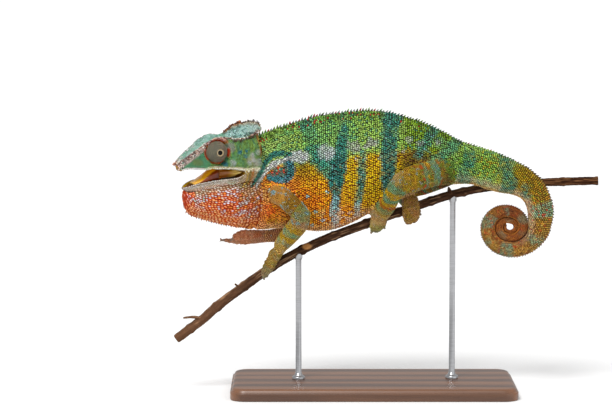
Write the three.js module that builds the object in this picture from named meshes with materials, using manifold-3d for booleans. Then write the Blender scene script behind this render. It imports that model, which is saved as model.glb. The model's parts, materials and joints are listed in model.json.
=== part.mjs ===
// A panther chameleon, an adult male, life size, gripping a cut branch on a display stand.
// Millimetres, +Z up. The animal faces -X and its left side faces -Y.
// The head is drawn straight, facing -X, and then turned at the neck.
import * as THREE from "three";
import { mergeVertices } from "three/addons/utils/BufferGeometryUtils.js";
import Module from "manifold-3d";

const wasm = await Module();
wasm.setup();

// ---------------------------------------------------------------- driving dimensions

const GAP = 0.3; // clearance between neighbouring pieces
const BODY_SIDES = 20; // corners round the trunk
const LIMB_SIDES = 10; // corners round a leg
const TAIL_SIDES = 11; // corners round the tail
const TOE_SIDES = 7; // corners round a bundle of toes

const HEAD_YAW = THREE.MathUtils.degToRad(23); // the snout turns towards the left side
const HEAD_ROLL = THREE.MathUtils.degToRad(2); // the crown leans towards the left side
const BEND_START = -14; // the neck bends between these two x positions
const BEND_END = -30;
const ROLL_HEIGHT = 150;

const HEAD_END = -34; // head, jaw and throat meet the neck here
const NECK_END = -22;

const EYE = { x: -65.4, z: 163.4, centre: 8.2, radius: 7.9, base: 4.2, ball: 2.7 };

const COIL = { x: 135.4, z: 111.4, start: 0.12, rows: 48 };
const QUARTER = Math.PI / 2;
const TAIL_SWAY = -4; // the tail passes in front of the branch

const CREST = { pitch: 3.6, height: 1.3, thickness: 1.1, root: 1.3 };
const GULAR = { from: -84, to: -36, pitch: 4.2, height: 1.6, thickness: 1.1, root: 1.3 };

const PERCH_RADIUS = 2.9;

const BASE = { x: 45, length: 190, width: 84, height: 8, corner: 10, bevel: 0.8 };
const ROD = { radius: 2, x: [-5, 98] };

// Skull, from the tip of the snout to the nape: x, height of the crown, half width and height of
// the side crest, half width of the side, half width and height of the upper lip.
const SKULL = [
  [-91.9, 154.9, 0.9, 155.0, 0.9, 0.7, 153.9],
  [-89.6, 155.9, 2.6, 156.6, 2.5, 2.5, 151.2],
  [-86.0, 158.0, 4.8, 159.4, 4.9, 4.9, 151.5],
  [-80.8, 161.4, 6.7, 163.4, 7.1, 7.5, 151.7],
  [-75.2, 165.4, 8.0, 167.3, 8.5, 9.5, 151.8],
  [-71.4, 168.4, 8.9, 170.2, 9.0, 10.7, 152.1],
  [-67.6, 170.8, 9.6, 172.4, 9.4, 11.6, 153.2],
  [-62.8, 172.2, 10.1, 173.3, 9.8, 12.4, 153.6],
  [-57.5, 175.2, 10.2, 172.7, 10.6, 13.1, 152.8],
  [-54.6, 177.9, 10.15, 172.3, 11.4, 13.4, 152.2],
  [-51.7, 180.2, 10.0, 172.1, 12.0, 13.6, 151.6],
  [-46.0, 182.3, 9.2, 172.3, 12.8, 13.8, 150.2],
  [-40.0, 183.0, 7.0, 173.9, 12.8, 13.6, 150.2],
  [-34.0, 182.3, 3.8, 175.2, 12.2, 13.2, 150.2],
];
const CASQUE_TIP = [
  // x, height of the crest, half width, height of the underside
  [-36.0, 182.6, 4.8, 174.9],
  [-33.0, 182.0, 3.3, 174.9],
  [-31.2, 180.4, 2.0, 175.2],
  [-30.3, 178.6, 0.9, 176.0],
];

// Lower jaw: x, half width and height of the lip, half width and height of the lower edge.
const JAW = [
  [-85.8, 2.0, 140.0, 1.7, 138.0],
  [-84.2, 4.6, 141.1, 4.0, 136.9],
  [-81.0, 7.2, 142.6, 7.0, 137.3],
  [-77.2, 9.0, 143.8, 9.2, 138.2],
  [-71.2, 10.9, 145.0, 11.2, 139.4],
  [-65.4, 12.0, 145.9, 12.4, 140.4],
  [-58.5, 13.0, 146.5, 13.2, 141.6],
  [-51.4, 13.5, 147.2, 13.6, 142.8],
  [-46.0, 13.8, 149.6, 13.7, 143.4],
  [-34.0, 13.2, 149.8, 13.1, 143.4],
];
const MOUTH_CORNER = -46;
const LINING_FRONT = -61; // the mouth's soft corner fold starts here
const TONGUE_TIP = -79;

// Throat pouch: x, height of its keel, half width at its fullest.
const POUCH = [
  [-85.6, 131.0, 1.6],
  [-84.9, 127.4, 3.8],
  [-83.2, 123.4, 6.2],
  [-79.8, 120.6, 8.6],
  [-75.0, 118.7, 10.3],
  [-69.4, 116.9, 11.3],
  [-59.8, 114.1, 12.3],
  [-50.0, 111.8, 12.8],
  [-40.0, 110.0, 12.8],
  [-34.0, 109.3, 12.7],
];

// Neck, trunk and the first lengths of the tail: the dorsal edge x, z, the ventral edge x, z and
// the half width.
const SPINE = [
  [-36, 171.5, -36, 109.4, 12.8],
  [-28, 174.4, -28, 109.2, 13.0],
  [-20, 177.1, -20, 109.6, 13.2],
  [-8, 181.0, -8, 109.4, 13.6],
  [7, 185.2, 7, 107.9, 14.0],
  [19, 187.2, 19, 109.2, 14.2],
  [31, 188.5, 31, 113.7, 14.2],
  [43, 188.9, 43, 120.2, 13.8],
  [55, 187.5, 55, 126.1, 13.2],
  [67, 184.3, 66, 130.6, 12.4],
  [79, 180.2, 76, 135.2, 11.6],
  [91, 174.6, 86, 138.2, 10.6],
  [103.3, 168.2, 97, 139.2, 9.4],
  [115.3, 164.4, 109.5, 139.4, 8.6],
  [127.5, 160.5, 119.5, 136.4, 8.2],
  [138.5, 155.6, 127.6, 134.2, 7.8],
  [149.0, 149.5, 136.6, 132.8, 7.4],
  [157.3, 141.9, 143.0, 130.0, 6.9],
  [162.5, 131.8, 146.4, 125.4, 6.4],
  [164.6, 121.0, 147.8, 119.0, 5.9],
];
const TRUNK_END = 12; // station of SPINE where the tail begins

// Tail coil, starting on the side away from the head and winding down and under: quarter turns,
// outer radius, thickness, half width.
const COIL_TURNS = [
  [0, 28.2, 15.6, 5.6],
  [0.25, 25.4, 12.9, 5.5],
  [0.5, 23.1, 11.1, 5.2],
  [1, 20.5, 9.9, 4.9],
  [2, 19.3, 9.0, 4.3],
  [3, 14.5, 7.7, 3.8],
  [4, 12.5, 6.0, 3.2],
  [5, 9.9, 4.5, 2.7],
  [6, 9.6, 4.8, 2.3],
  [7, 6.1, 3.6, 1.9],
  [8, 5.8, 2.7, 1.5],
  [9, 4.8, 2.3, 1.2],
  [10, 4.0, 1.9, 1.0],
  [11, 2.6, 1.2, 0.7],
];
const COIL_END = 10.5; // quarter turns

// Branch: x, y, z of its centre line from the cut end on the left.
const BRANCH = [
  [-87, 0, 35.0],
  [-72, 0, 46.2],
  [-56, 0, 59.8],
  [-40, 0, 71.6],
  [-26, 0, 81.6],
  [-12, 0, 90.2],
  [3, 0, 97.9],
  [16, 0, 103.6],
  [32, 0, 109.7],
  [48, 0, 115.7],
  [64, 0, 121.3],
  [80, 0.5, 126.8],
  [96, 2.5, 131.7],
  [112, 7, 134.9],
  [130, 12, 136.9],
  [147, 14, 138.4],
  [170, 14, 139.5],
  [196, 12, 140.5],
];

// ---------------------------------------------------------------- small tools

// A smooth function through pairs of position and value, held level past both ends.
function smoothly(pairs) {
  const last = pairs.length - 1;
  const slope = (i) => {
    const a = pairs[Math.max(i - 1, 0)];
    const b = pairs[Math.min(i + 1, last)];
    return (b[1] - a[1]) / (b[0] - a[0]);
  };
  return (x) => {
    if (x <= pairs[0][0]) return pairs[0][1];
    if (x >= pairs[last][0]) return pairs[last][1];
    const i = pairs.findIndex((pair) => pair[0] > x) - 1;
    const span = pairs[i + 1][0] - pairs[i][0];
    const t = (x - pairs[i][0]) / span;
    const rise = pairs[i + 1][1] - pairs[i][1];
    const enter = slope(i) * span;
    const leave = slope(i + 1) * span;
    const bend = t * (1 - t) * ((enter - rise) * (1 - t) - (leave - rise) * t);
    return pairs[i][1] + rise * t + bend;
  };
}

// One smooth function for each column of a table whose first column is the position.
function columns(table) {
  return table[0].slice(1).map((_, k) => smoothly(table.map((row) => [row[0], row[k + 1]])));
}

// Evenly spaced values from a to b, both included.
function steps(a, b, count) {
  return Array.from({ length: count + 1 }, (_, i) => a + ((b - a) * i) / count);
}

// A manifold solid from points and triangles, turned right side out.
function solidFrom(points, faces) {
  const vertProperties = new Float32Array(points.flatMap((p) => [p.x, p.y, p.z]));
  const make = (list) => {
    const triVerts = new Uint32Array(list.flat());
    return new wasm.Manifold(new wasm.Mesh({ numProp: 3, vertProperties, triVerts }));
  };
  const made = make(faces);
  return made.volume() > 0 ? made : make(faces.map(([a, b, c]) => [a, c, b]));
}

// A manifold solid from a closed three.js geometry.
function solidOf(geometry) {
  const bare = geometry.index ? geometry.toNonIndexed() : geometry.clone();
  bare.deleteAttribute("normal");
  bare.deleteAttribute("uv");
  const merged = mergeVertices(bare, 1e-4);
  const place = merged.getAttribute("position");
  const points = steps(0, place.count - 1, place.count - 1).map((i) =>
    new THREE.Vector3().fromBufferAttribute(place, Math.round(i)),
  );
  const index = merged.index.array;
  const faces = [];
  for (let i = 0; i < index.length; i += 3) {
    const face = [index[i], index[i + 1], index[i + 2]];
    if (new Set(face).size === 3) faces.push(face);
  }
  return solidFrom(points, faces);
}

// A closed skin over a row of rings, all with the same number of points.
function loft(rings) {
  const sides = rings[0].length;
  const points = rings.flat();
  const faces = [];
  for (let r = 0; r < rings.length - 1; r++) {
    for (let i = 0; i < sides; i++) {
      const j = (i + 1) % sides;
      const here = r * sides;
      const next = here + sides;
      faces.push([here + i, next + i, next + j]);
      faces.push([here + i, next + j, here + j]);
    }
  }
  [0, rings.length - 1].forEach((r) => {
    const centre = rings[r].reduce((sum, p) => sum.add(p), new THREE.Vector3());
    points.push(centre.divideScalar(sides));
    for (let i = 0; i < sides; i++) {
      const face = [r * sides + i, r * sides + ((i + 1) % sides), points.length - 1];
      faces.push(r === 0 ? face : face.reverse());
    }
  });
  return solidFrom(points, faces);
}

// The same solid, grown by a distance along its corners' normals.
function grown(solid, distance) {
  const { vertProperties, triVerts } = solid.getMesh();
  const geometry = new THREE.BufferGeometry();
  geometry.setAttribute("position", new THREE.BufferAttribute(vertProperties.slice(), 3));
  geometry.setIndex(new THREE.BufferAttribute(triVerts.slice(), 1));
  const merged = mergeVertices(geometry, 1e-4);
  merged.computeVertexNormals();
  const place = merged.getAttribute("position");
  const normal = merged.getAttribute("normal");
  for (let i = 0; i < place.count; i++) {
    place.setXYZ(
      i,
      place.getX(i) + normal.getX(i) * distance,
      place.getY(i) + normal.getY(i) * distance,
      place.getZ(i) + normal.getZ(i) * distance,
    );
  }
  return solidOf(merged);
}

const union = (solids) => solids.reduce((whole, part) => whole.add(part));
const without = (solid, others) => others.reduce((left, o) => left.subtract(grown(o, GAP)), solid);

// Only the largest of the pieces that a cut leaves.
function largest(solid) {
  return solid.decompose().reduce((a, b) => (a.volume() > b.volume() ? a : b));
}

// ---------------------------------------------------------------- the turn of the head

// Moves a point of the straight pose to where the bent neck carries it.
function turned(p) {
  const share = THREE.MathUtils.clamp((BEND_START - p.x) / (BEND_START - BEND_END), 0, 1);
  const yaw = HEAD_YAW * share;
  const roll = HEAD_ROLL * share;
  const radius = (BEND_START - BEND_END) / HEAD_YAW;
  const beyond = Math.max(BEND_END - p.x, 0);
  const before = Math.max(p.x - BEND_START, 0);
  const height = p.z - ROLL_HEIGHT;
  const side = p.y * Math.cos(roll) - height * Math.sin(roll);
  return new THREE.Vector3(
    BEND_START + before - radius * Math.sin(yaw) - beyond * Math.cos(yaw) - side * Math.sin(yaw),
    -radius * (1 - Math.cos(yaw)) - beyond * Math.sin(yaw) + side * Math.cos(yaw),
    ROLL_HEIGHT + p.y * Math.sin(roll) + height * Math.cos(roll),
  );
}

// A ring of the head: half a section, as half width and height pairs from the crown down, at x.
function headRing(x, half) {
  const left = half.map(([v, z]) => turned(new THREE.Vector3(x, -v, z)));
  const right = half.map(([v, z]) => turned(new THREE.Vector3(x, v, z)));
  const inner = right.slice(1, -1).reverse();
  return [...left, ...inner];
}

// ---------------------------------------------------------------- head

function skull() {
  const [crown, crestHalf, crestZ, sideHalf, lipHalf, lipZ] = columns(SKULL);
  const rings = SKULL.map(([x]) => {
    const top = crown(x);
    const ridge = crestHalf(x);
    const ridgeZ = crestZ(x);
    const lip = lipHalf(x);
    const bottom = lipZ(x);
    const height = ridgeZ - bottom;
    const dip = 0.02 * ridge * Math.max(1, 1.1 * (top - ridgeZ));
    return headRing(x, [
      [0, top],
      [ridge * 0.5, (top + ridgeZ) / 2 - dip],
      [ridge * 0.86, ridgeZ - 0.25],
      [ridge, ridgeZ - 0.4],
      [ridge * 0.98 + 0.02 * sideHalf(x), ridgeZ - 0.14 * height],
      [sideHalf(x) - 0.25, ridgeZ - 0.36 * height],
      [sideHalf(x), ridgeZ - 0.58 * height],
      [Math.max(lip, sideHalf(x)) + 0.1, bottom + 0.2 * height],
      [lip, bottom + 0.05 * height],
      [lip * 0.9, bottom],
      [lip * 0.66, bottom + Math.min(1.6, 0.16 * height) * (x < MOUTH_CORNER ? 1 : 0)],
      [0, bottom + Math.min(2.2, 0.2 * height) * (x < MOUTH_CORNER ? 1 : 0)],
    ]);
  });
  return loft(rings);
}

// The back end of the casque, which stands out over the nape.
function casqueTip() {
  return loft(
    CASQUE_TIP.map(([x, top, half, under]) => {
      const mid = (top + under) / 2;
      return headRing(x, [
        [0, top],
        [half * 0.45, mid + 0.1],
        [half, under + 0.9],
        [half * 0.9, under],
        [0, under],
      ]);
    }),
  );
}

// A turret eye: a dome of skin with the eyeball's window at its tip, on an axis to one side.
function eye(side) {
  const rim = Math.asin(EYE.ball / EYE.radius);
  const start = Math.acos((EYE.base - EYE.centre) / EYE.radius);
  const dome = steps(start, rim, 7).map(
    (a) => new THREE.Vector2(EYE.radius * Math.sin(a), EYE.centre + EYE.radius * Math.cos(a)),
  );
  const tip = EYE.centre + EYE.radius * Math.cos(rim);
  const ball = [new THREE.Vector2(EYE.ball * 0.62, tip + 0.35), new THREE.Vector2(0, tip + 0.6)];
  const profile = [new THREE.Vector2(0, EYE.base), ...dome, ...ball];
  const geometry = new THREE.LatheGeometry(profile, 13);
  const place = geometry.getAttribute("position");
  for (let i = 0; i < place.count; i++) {
    const straight = new THREE.Vector3(
      EYE.x + place.getX(i),
      side * place.getY(i),
      EYE.z + place.getZ(i),
    );
    const p = turned(straight);
    place.setXYZ(i, p.x, p.y, p.z);
  }
  return solidOf(geometry);
}

function lowerJaw() {
  const [lipHalf, lipZ, lowHalf, lowZ] = columns(JAW);
  return loft(
    JAW.map(([x]) => {
      const lip = lipHalf(x);
      const top = lipZ(x);
      const low = lowZ(x);
      const deep = x < MOUTH_CORNER ? Math.min(2.4, 0.32 * lip) : 0;
      return headRing(x, [
        [0, top - deep],
        [lip * 0.6, top - deep],
        [lip - Math.min(1.7, 0.3 * lip), top - 0.5 * deep],
        [lip - Math.min(1.1, 0.2 * lip), top],
        [lip, top - 0.6],
        [(lip + lowHalf(x)) / 2 + 0.2, (top + low) / 2],
        [lowHalf(x), low],
        [0, low],
      ]);
    }),
  );
}

function throatPouch() {
  const [keelZ, half] = columns(POUCH);
  const [, , lowHalf, lowZ] = columns(JAW);
  return loft(
    POUCH.map(([x]) => {
      const top = lowZ(x) - GAP;
      const keel = keelZ(x);
      const depth = top - keel;
      const wide = half(x);
      const rim = Math.min(lowHalf(x) - 0.2, wide);
      return headRing(x, [
        [0, top],
        [rim * 0.9, top],
        [Math.max(rim, wide * 0.96), top - 0.14 * depth],
        [wide, top - 0.34 * depth],
        [wide * 0.93, top - 0.56 * depth],
        [wide * 0.72, top - 0.76 * depth],
        [wide * 0.36, top - 0.93 * depth],
        [0, keel],
      ]);
    }),
  );
}

// The soft fold of the mouth's corner, which closes the gape at the back.
function mouthLining() {
  const [, , , , lipHalf, lipZ] = columns(SKULL);
  const [jawHalf, jawZ] = columns(JAW);
  return loft(
    steps(LINING_FRONT, MOUTH_CORNER - 0.4, 5).map((x) => {
      const share = (x - LINING_FRONT) / (MOUTH_CORNER - LINING_FRONT);
      const half = (Math.min(lipHalf(x), jawHalf(x)) - 2.3) * (0.9 + 0.1 * share);
      const roof = lipZ(x) - 0.4;
      const floor = jawZ(x) - 1.0 + 1.3 * share;
      return headRing(x, [
        [0, roof],
        [half * 0.8, roof - 0.1],
        [half, (roof + floor) / 2],
        [half * 0.8, floor],
        [0, floor],
      ]);
    }),
  );
}

// The tongue fills the floor of the mouth and rises towards the throat.
function tongue() {
  const [jawHalf, jawZ] = columns(JAW);
  const crown = smoothly([[TONGUE_TIP, 142.6], [-75, 145], [-71, 148], [-67, 151], [-63, 153.2]]);
  return loft(
    steps(TONGUE_TIP, LINING_FRONT - 0.4, 5).map((x) => {
      const half = jawHalf(x) * 0.62;
      const floor = jawZ(x) - 1.8;
      const top = crown(x);
      return headRing(x, [
        [0, top],
        [half * 0.55, top - 0.5],
        [half * 0.92, floor + 0.6 * (top - floor)],
        [half, floor + 0.2 * (top - floor)],
        [half * 0.9, floor],
        [0, floor],
      ]);
    }),
  );
}

// ---------------------------------------------------------------- neck, trunk and tail

// The dorsal and the ventral edge as two curves, with the coil worked out after the last station.
const coilSize = columns(COIL_TURNS);
const coilRows = steps(COIL.start, COIL_END, COIL.rows).map((quarters) => {
  const angle = quarters * QUARTER;
  const outer = coilSize[0](quarters);
  const inner = Math.max(outer - coilSize[1](quarters), 0.6);
  const across = new THREE.Vector2(Math.cos(angle), -Math.sin(angle));
  return [
    COIL.x + outer * across.x,
    COIL.z + outer * across.y,
    COIL.x + inner * across.x,
    COIL.z + inner * across.y,
    coilSize[2](quarters),
  ];
});
const STATIONS = [...SPINE, ...coilRows];
const edge = (k) =>
  new THREE.CatmullRomCurve3(
    STATIONS.map((row) => new THREE.Vector3(row[k], 0, row[k + 1])),
    false,
    "centripetal",
  );
const dorsal = edge(0);
const ventral = edge(2);
const spineHalf = smoothly(STATIONS.map((row, i) => [i, row[4]]));
const LAST = STATIONS.length - 1;
const sway = smoothly([[TRUNK_END - 1, 0], [TRUNK_END + 3, TAIL_SWAY], [LAST, TAIL_SWAY]]);

// How sharp the back's keel is, and how high the widest place is, by station.
const keelSharp = smoothly([[0, 0.9], [4, 0.95], [TRUNK_END, 0.72], [TRUNK_END + 6, 0.55], [22, 0.5]]);
const waist = smoothly([[0, 0.5], [4, 0.44], [8, 0.44], [TRUNK_END, 0.5], [LAST, 0.5]]);

// The ring at a station number, which may fall between two stations.
function spineRing(station, sides) {
  const back = dorsal.getPoint(station / LAST);
  const belly = ventral.getPoint(station / LAST);
  const half = spineHalf(station);
  const power = keelSharp(station);
  const wide = waist(station);
  const ring = [];
  for (let i = 0; i < sides; i++) {
    const angle = (i / sides) * 2 * Math.PI;
    const up = Math.cos(angle);
    const across = Math.abs(Math.sin(angle)) ** (up > 0 ? 2 * power : 1);
    const height = up > 0 ? wide + (1 - wide) * up : wide + wide * up;
    const p = belly.clone().lerp(back, height);
    p.y = half * across * Math.sign(Math.sin(angle)) + sway(station);
    ring.push(p.x < BEND_START ? turned(p) : p);
  }
  return ring;
}

// A length of the body between two stations, drawn back at each end by half the gap.
function spineLength(from, to, count, sides) {
  const pace = (station) => {
    const a = ventral.getPoint(Math.max(station - 0.05, 0) / LAST);
    const b = ventral.getPoint(Math.min(station + 0.05, LAST) / LAST);
    const c = dorsal.getPoint(Math.max(station - 0.05, 0) / LAST);
    const d = dorsal.getPoint(Math.min(station + 0.05, LAST) / LAST);
    return Math.min(a.distanceTo(b), c.distanceTo(d)) / 0.1;
  };
  const start = from + GAP / 2 / pace(from);
  const end = to - GAP / 2 / pace(to);
  return loft(steps(start, end, count).map((station) => spineRing(station, sides)));
}

// A row of pointed scales: a saw-toothed strip that stands on an edge.
function sawStrip(at, from, to, shape, place) {
  const count = Math.max(2, Math.round((to - from) / shape.pitch));
  const outline = [];
  steps(from, to, count * 2).forEach((s, i) => {
    const { point, out } = at(s);
    outline.push(point.clone().addScaledVector(out, i % 2 ? shape.height : 0));
  });
  steps(to, from, count).forEach((s) => {
    const { point, out } = at(s);
    outline.push(point.clone().addScaledVector(out, -shape.root));
  });
  const flat = outline.map((p) => new THREE.Vector2(p.x, p.y));
  const depth = shape.thickness;
  const geometry = new THREE.ExtrudeGeometry(new THREE.Shape(flat), { depth, bevelEnabled: false });
  const corner = geometry.getAttribute("position");
  for (let i = 0; i < corner.count; i++) {
    const p = place(new THREE.Vector3(corner.getX(i), corner.getZ(i) - depth / 2, corner.getY(i)));
    corner.setXYZ(i, p.x, p.y, p.z);
  }
  return solidOf(geometry);
}

// Where the back's edge is at a station, and which way is out, in the side plane.
function backEdge(station) {
  const p = dorsal.getPoint(station / LAST);
  const q = ventral.getPoint(station / LAST);
  const out = new THREE.Vector2(p.x - q.x, p.z - q.z).normalize();
  return { point: new THREE.Vector2(p.x, p.z), out };
}

function backCrest(from, to) {
  const length = dorsal.getPoint(from / LAST).distanceTo(dorsal.getPoint(to / LAST));
  const pitch = (CREST.pitch * (to - from)) / length;
  const middle = sway((from + to) / 2);
  return sawStrip(backEdge, from, to, { ...CREST, pitch }, (p) => {
    const moved = new THREE.Vector3(p.x, p.y + (from < TRUNK_END ? 0 : middle), p.z);
    return p.x < BEND_START ? turned(moved) : moved;
  });
}

function gularCrest() {
  const [keelZ] = columns(POUCH);
  const at = (x) => ({
    point: new THREE.Vector2(x, keelZ(x)),
    out: new THREE.Vector2(-0.25, -1).normalize(),
  });
  return sawStrip(at, GULAR.from, GULAR.to, GULAR, turned);
}

// ---------------------------------------------------------------- branch and stand

// An oval tube along a smooth path. Each station is x, y, z and two half thicknesses: along the
// side direction, and across it.
class Tube {
  constructor(stations, sideways) {
    this.last = stations.length - 1;
    this.path = new THREE.CatmullRomCurve3(
      stations.map(([x, y, z]) => new THREE.Vector3(x, y, z)),
      false,
      "centripetal",
    );
    this.along = smoothly(stations.map((row, i) => [i / this.last, row[3]]));
    this.across = smoothly(stations.map((row, i) => [i / this.last, row[4]]));
    this.sideways = sideways;
  }

  ring(t, sides) {
    const centre = this.path.getPoint(t);
    const ahead = this.path.getTangent(t);
    const across = new THREE.Vector3().crossVectors(ahead, this.sideways).normalize();
    const side = new THREE.Vector3().crossVectors(across, ahead).normalize();
    return steps(0, 2 * Math.PI, sides)
      .slice(0, sides)
      .map((a) =>
        centre
          .clone()
          .addScaledVector(side, this.along(t) * Math.cos(a))
          .addScaledVector(across, this.across(t) * Math.sin(a)),
      );
  }

  // The solid between two shares of the path, drawn back by half the gap where it is cut.
  solid(from, to, count, sides) {
    const share = GAP / 2 / this.path.getLength();
    const start = from > 0 ? from + share : from;
    const end = to < 1 ? to - share : to;
    return loft(steps(start, end, count).map((t) => this.ring(t, sides)));
  }
}

const SIDE = new THREE.Vector3(0, 1, 0);

function branch() {
  const rows = BRANCH.map(([x, y, z], i) => {
    const knot = i % 3 === 1 ? 0.25 : 0;
    const radius = PERCH_RADIUS + knot + (x < -50 ? 0.3 : 0) - (x > 90 ? 0.25 : 0);
    return [x, y, z, radius, radius];
  });
  const limb = new Tube(rows, SIDE).solid(0, 1, 27, 8);
  const twig = new Tube(
    [
      [-69, -1, 49, 1.2, 1.2],
      [-76, -2.5, 50.2, 0.9, 0.9],
      [-82, -3.5, 49.8, 0.8, 0.8],
    ],
    SIDE,
  ).solid(0, 1, 3, 6);
  const bud = new Tube(
    [
      [96, 1, 133, 1.5, 1.5],
      [95, 0.5, 137, 0.7, 0.7],
    ],
    SIDE,
  ).solid(0, 1, 2, 6);
  return union([limb, twig, bud]);
}

function standBase() {
  const outline = new THREE.Shape();
  const halfLength = BASE.length / 2 - BASE.bevel;
  const halfWidth = BASE.width / 2 - BASE.bevel;
  const r = BASE.corner;
  outline.absarc(halfLength - r, halfWidth - r, r, 0, QUARTER);
  outline.absarc(-halfLength + r, halfWidth - r, r, QUARTER, 2 * QUARTER);
  outline.absarc(-halfLength + r, -halfWidth + r, r, 2 * QUARTER, 3 * QUARTER);
  outline.absarc(halfLength - r, -halfWidth + r, r, 3 * QUARTER, 4 * QUARTER);
  const geometry = new THREE.ExtrudeGeometry(outline, {
    depth: BASE.height - 2 * BASE.bevel,
    bevelThickness: BASE.bevel,
    bevelSize: BASE.bevel,
    bevelSegments: 1,
    curveSegments: 3,
  });
  geometry.translate(BASE.x, 0, BASE.bevel);
  return solidOf(geometry);
}

// A rod from the base up into the underside of the branch.
function standRod(x, perch) {
  const row = BRANCH.findIndex((p) => p[0] > x);
  const [a, b] = [BRANCH[row - 1], BRANCH[row]];
  const t = (x - a[0]) / (b[0] - a[0]);
  const top = a[2] + (b[2] - a[2]) * t;
  const y = a[1] + (b[1] - a[1]) * t;
  const foot = BASE.height + GAP;
  const geometry = new THREE.CylinderGeometry(ROD.radius, ROD.radius, top - foot, 14);
  geometry.rotateX(QUARTER);
  geometry.translate(x, y, (top + foot) / 2);
  return largest(without(solidOf(geometry), [perch]));
}

// ---------------------------------------------------------------- legs

// Each leg's path runs from inside the body to the wrist or ankle; elbow and knee are the cuts.
const ARM_LEFT = new Tube(
  [
    [-27, -7, 137.5, 5.5, 7.2],
    [-18, -13, 133.5, 5.2, 6.6],
    [-9, -18, 127.0, 5.0, 6.4],
    [-2.8, -20, 120.4, 5.0, 6.8],
    [-5.2, -17, 114.0, 4.8, 6.9],
    [-10.9, -11, 106.2, 4.6, 6.5],
    [-18.1, -5.5, 97.2, 4.4, 5.2],
  ],
  SIDE,
);
const ARM_RIGHT = new Tube(
  [
    [-24, 7, 131, 5.5, 6.5],
    [-16, 13, 124, 5.0, 5.8],
    [-8, 18, 115, 4.8, 5.4],
    [-7, 19, 108, 4.8, 5.4],
    [-14, 18, 103.6, 4.6, 5.4],
    [-22, 17, 102.8, 4.4, 5.0],
    [-28, 16, 102.6, 4.2, 4.6],
  ],
  SIDE,
);
const LEG_LEFT = new Tube(
  [
    [97, -7, 149.5, 5.5, 9.2],
    [90, -10, 148.4, 5.7, 9.0],
    [80, -15, 146.8, 5.9, 9.2],
    [70, -19.5, 144.6, 5.9, 9.4],
    [62.4, -22, 141.4, 5.6, 8.0],
    [57.4, -19.5, 134.8, 5.2, 6.1],
    [54.8, -13.5, 128.0, 4.9, 6.1],
    [51.4, -7, 121.8, 4.6, 6.0],
  ],
  SIDE,
);
const LEG_RIGHT = new Tube(
  [
    [97, 7, 147.0, 5.5, 9.2],
    [90, 11, 143.6, 5.6, 9.0],
    [81, 16.5, 139.6, 5.6, 9.0],
    [73, 20.5, 136.4, 5.5, 8.6],
    [65.5, 23, 134.4, 5.2, 6.8],
    [65, 19, 130.6, 4.8, 5.8],
    [66.8, 13, 128.2, 4.6, 5.6],
    [69.4, 6.5, 126.4, 4.4, 5.4],
  ],
  SIDE,
);
const ELBOW = 0.5; // share of an arm's path, and of a leg's below
const KNEE = 0.57;

// A gripping foot: a palm over the branch and two bundles of toes that close round it, one to
// each side. `toes` gives the left and the right bundle's number of claws.
function grippingFoot({ palm, palmSize, left, right, toes, wide }) {
  const slope = branchSlope(palm[0]);
  const centre = new THREE.SphereGeometry(1, 9, 5);
  centre.scale(...palmSize);
  centre.rotateY(-Math.atan2(slope.z, slope.x));
  centre.translate(...palm);
  const bundles = [left, right].map((path, side) => {
    const rows = path.map(([x, y, z, thick], i) => [x, y, z, wide[i], thick]);
    const tube = new Tube(rows, slope);
    const parts = [tube.solid(0, 1, 5, TOE_SIDES)];
    for (let k = 0; k < toes[side]; k++) {
      parts.push(claw(tube, (k - (toes[side] - 1) / 2) * (1.4 * wide.at(-1))));
    }
    return union(parts);
  });
  return union([solidOf(centre), ...bundles]);
}

// A claw at a tube's tip, set off to one side by a distance.
function claw(tube, offset) {
  const tip = tube.path.getPoint(1);
  const ahead = tube.path.getTangent(1);
  const geometry = new THREE.ConeGeometry(0.85, 3.2, 4);
  const turn = new THREE.Quaternion().setFromUnitVectors(new THREE.Vector3(0, 1, 0), ahead);
  geometry.applyQuaternion(turn);
  const place = tip.addScaledVector(tube.sideways, offset).addScaledVector(ahead, 1.0);
  geometry.translate(place.x, place.y, place.z);
  return solidOf(geometry);
}

// The branch's direction at x.
function branchSlope(x) {
  const row = Math.max(1, BRANCH.findIndex((p) => p[0] > x));
  const [a, b] = [BRANCH[row - 1], BRANCH[row]];
  return new THREE.Vector3(b[0] - a[0], b[1] - a[1], b[2] - a[2]).normalize();
}

const HAND_LEFT = {
  palm: [-20.6, -2.5, 92.2],
  palmSize: [5.3, 5.6, 5.2],
  left: [
    [-18.8, -4.5, 95.6, 2.8],
    [-22.0, -6.6, 90, 3.0],
    [-25.2, -7.0, 84.6, 2.8],
    [-27.2, -5.4, 79.6, 2.3],
    [-27.0, -2.4, 77.2, 1.5],
  ],
  right: [
    [-19.5, 0, 94, 2.8],
    [-21.4, 4.6, 90, 2.9],
    [-23.4, 6.4, 86, 2.7],
    [-24.8, 5.4, 82.8, 2.3],
    [-25.2, 3.4, 80.8, 1.5],
  ],
  toes: [2, 3],
  wide: [4.6, 4.7, 4.4, 3.4, 2.1],
};
const FOOT_LEFT = {
  palm: [48.8, -2.5, 121.2],
  palmSize: [7.0, 5.8, 5.0],
  left: [
    [50.0, -4.5, 121.2, 3.0],
    [48.6, -7.0, 117.2, 3.1],
    [47.6, -7.2, 112.6, 2.9],
    [47.4, -4.6, 109.4, 2.4],
    [48.0, -1.6, 108.4, 1.6],
  ],
  right: [
    [49.4, 0, 121.6, 2.8],
    [49.4, 5.2, 119.3, 2.9],
    [49.6, 7.0, 115.4, 2.7],
    [49.8, 5.4, 112.4, 2.3],
    [50.0, 3.0, 111.0, 1.6],
  ],
  toes: [3, 2],
  wide: [5.4, 6.2, 6.3, 5.5, 3.4],
};
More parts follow.
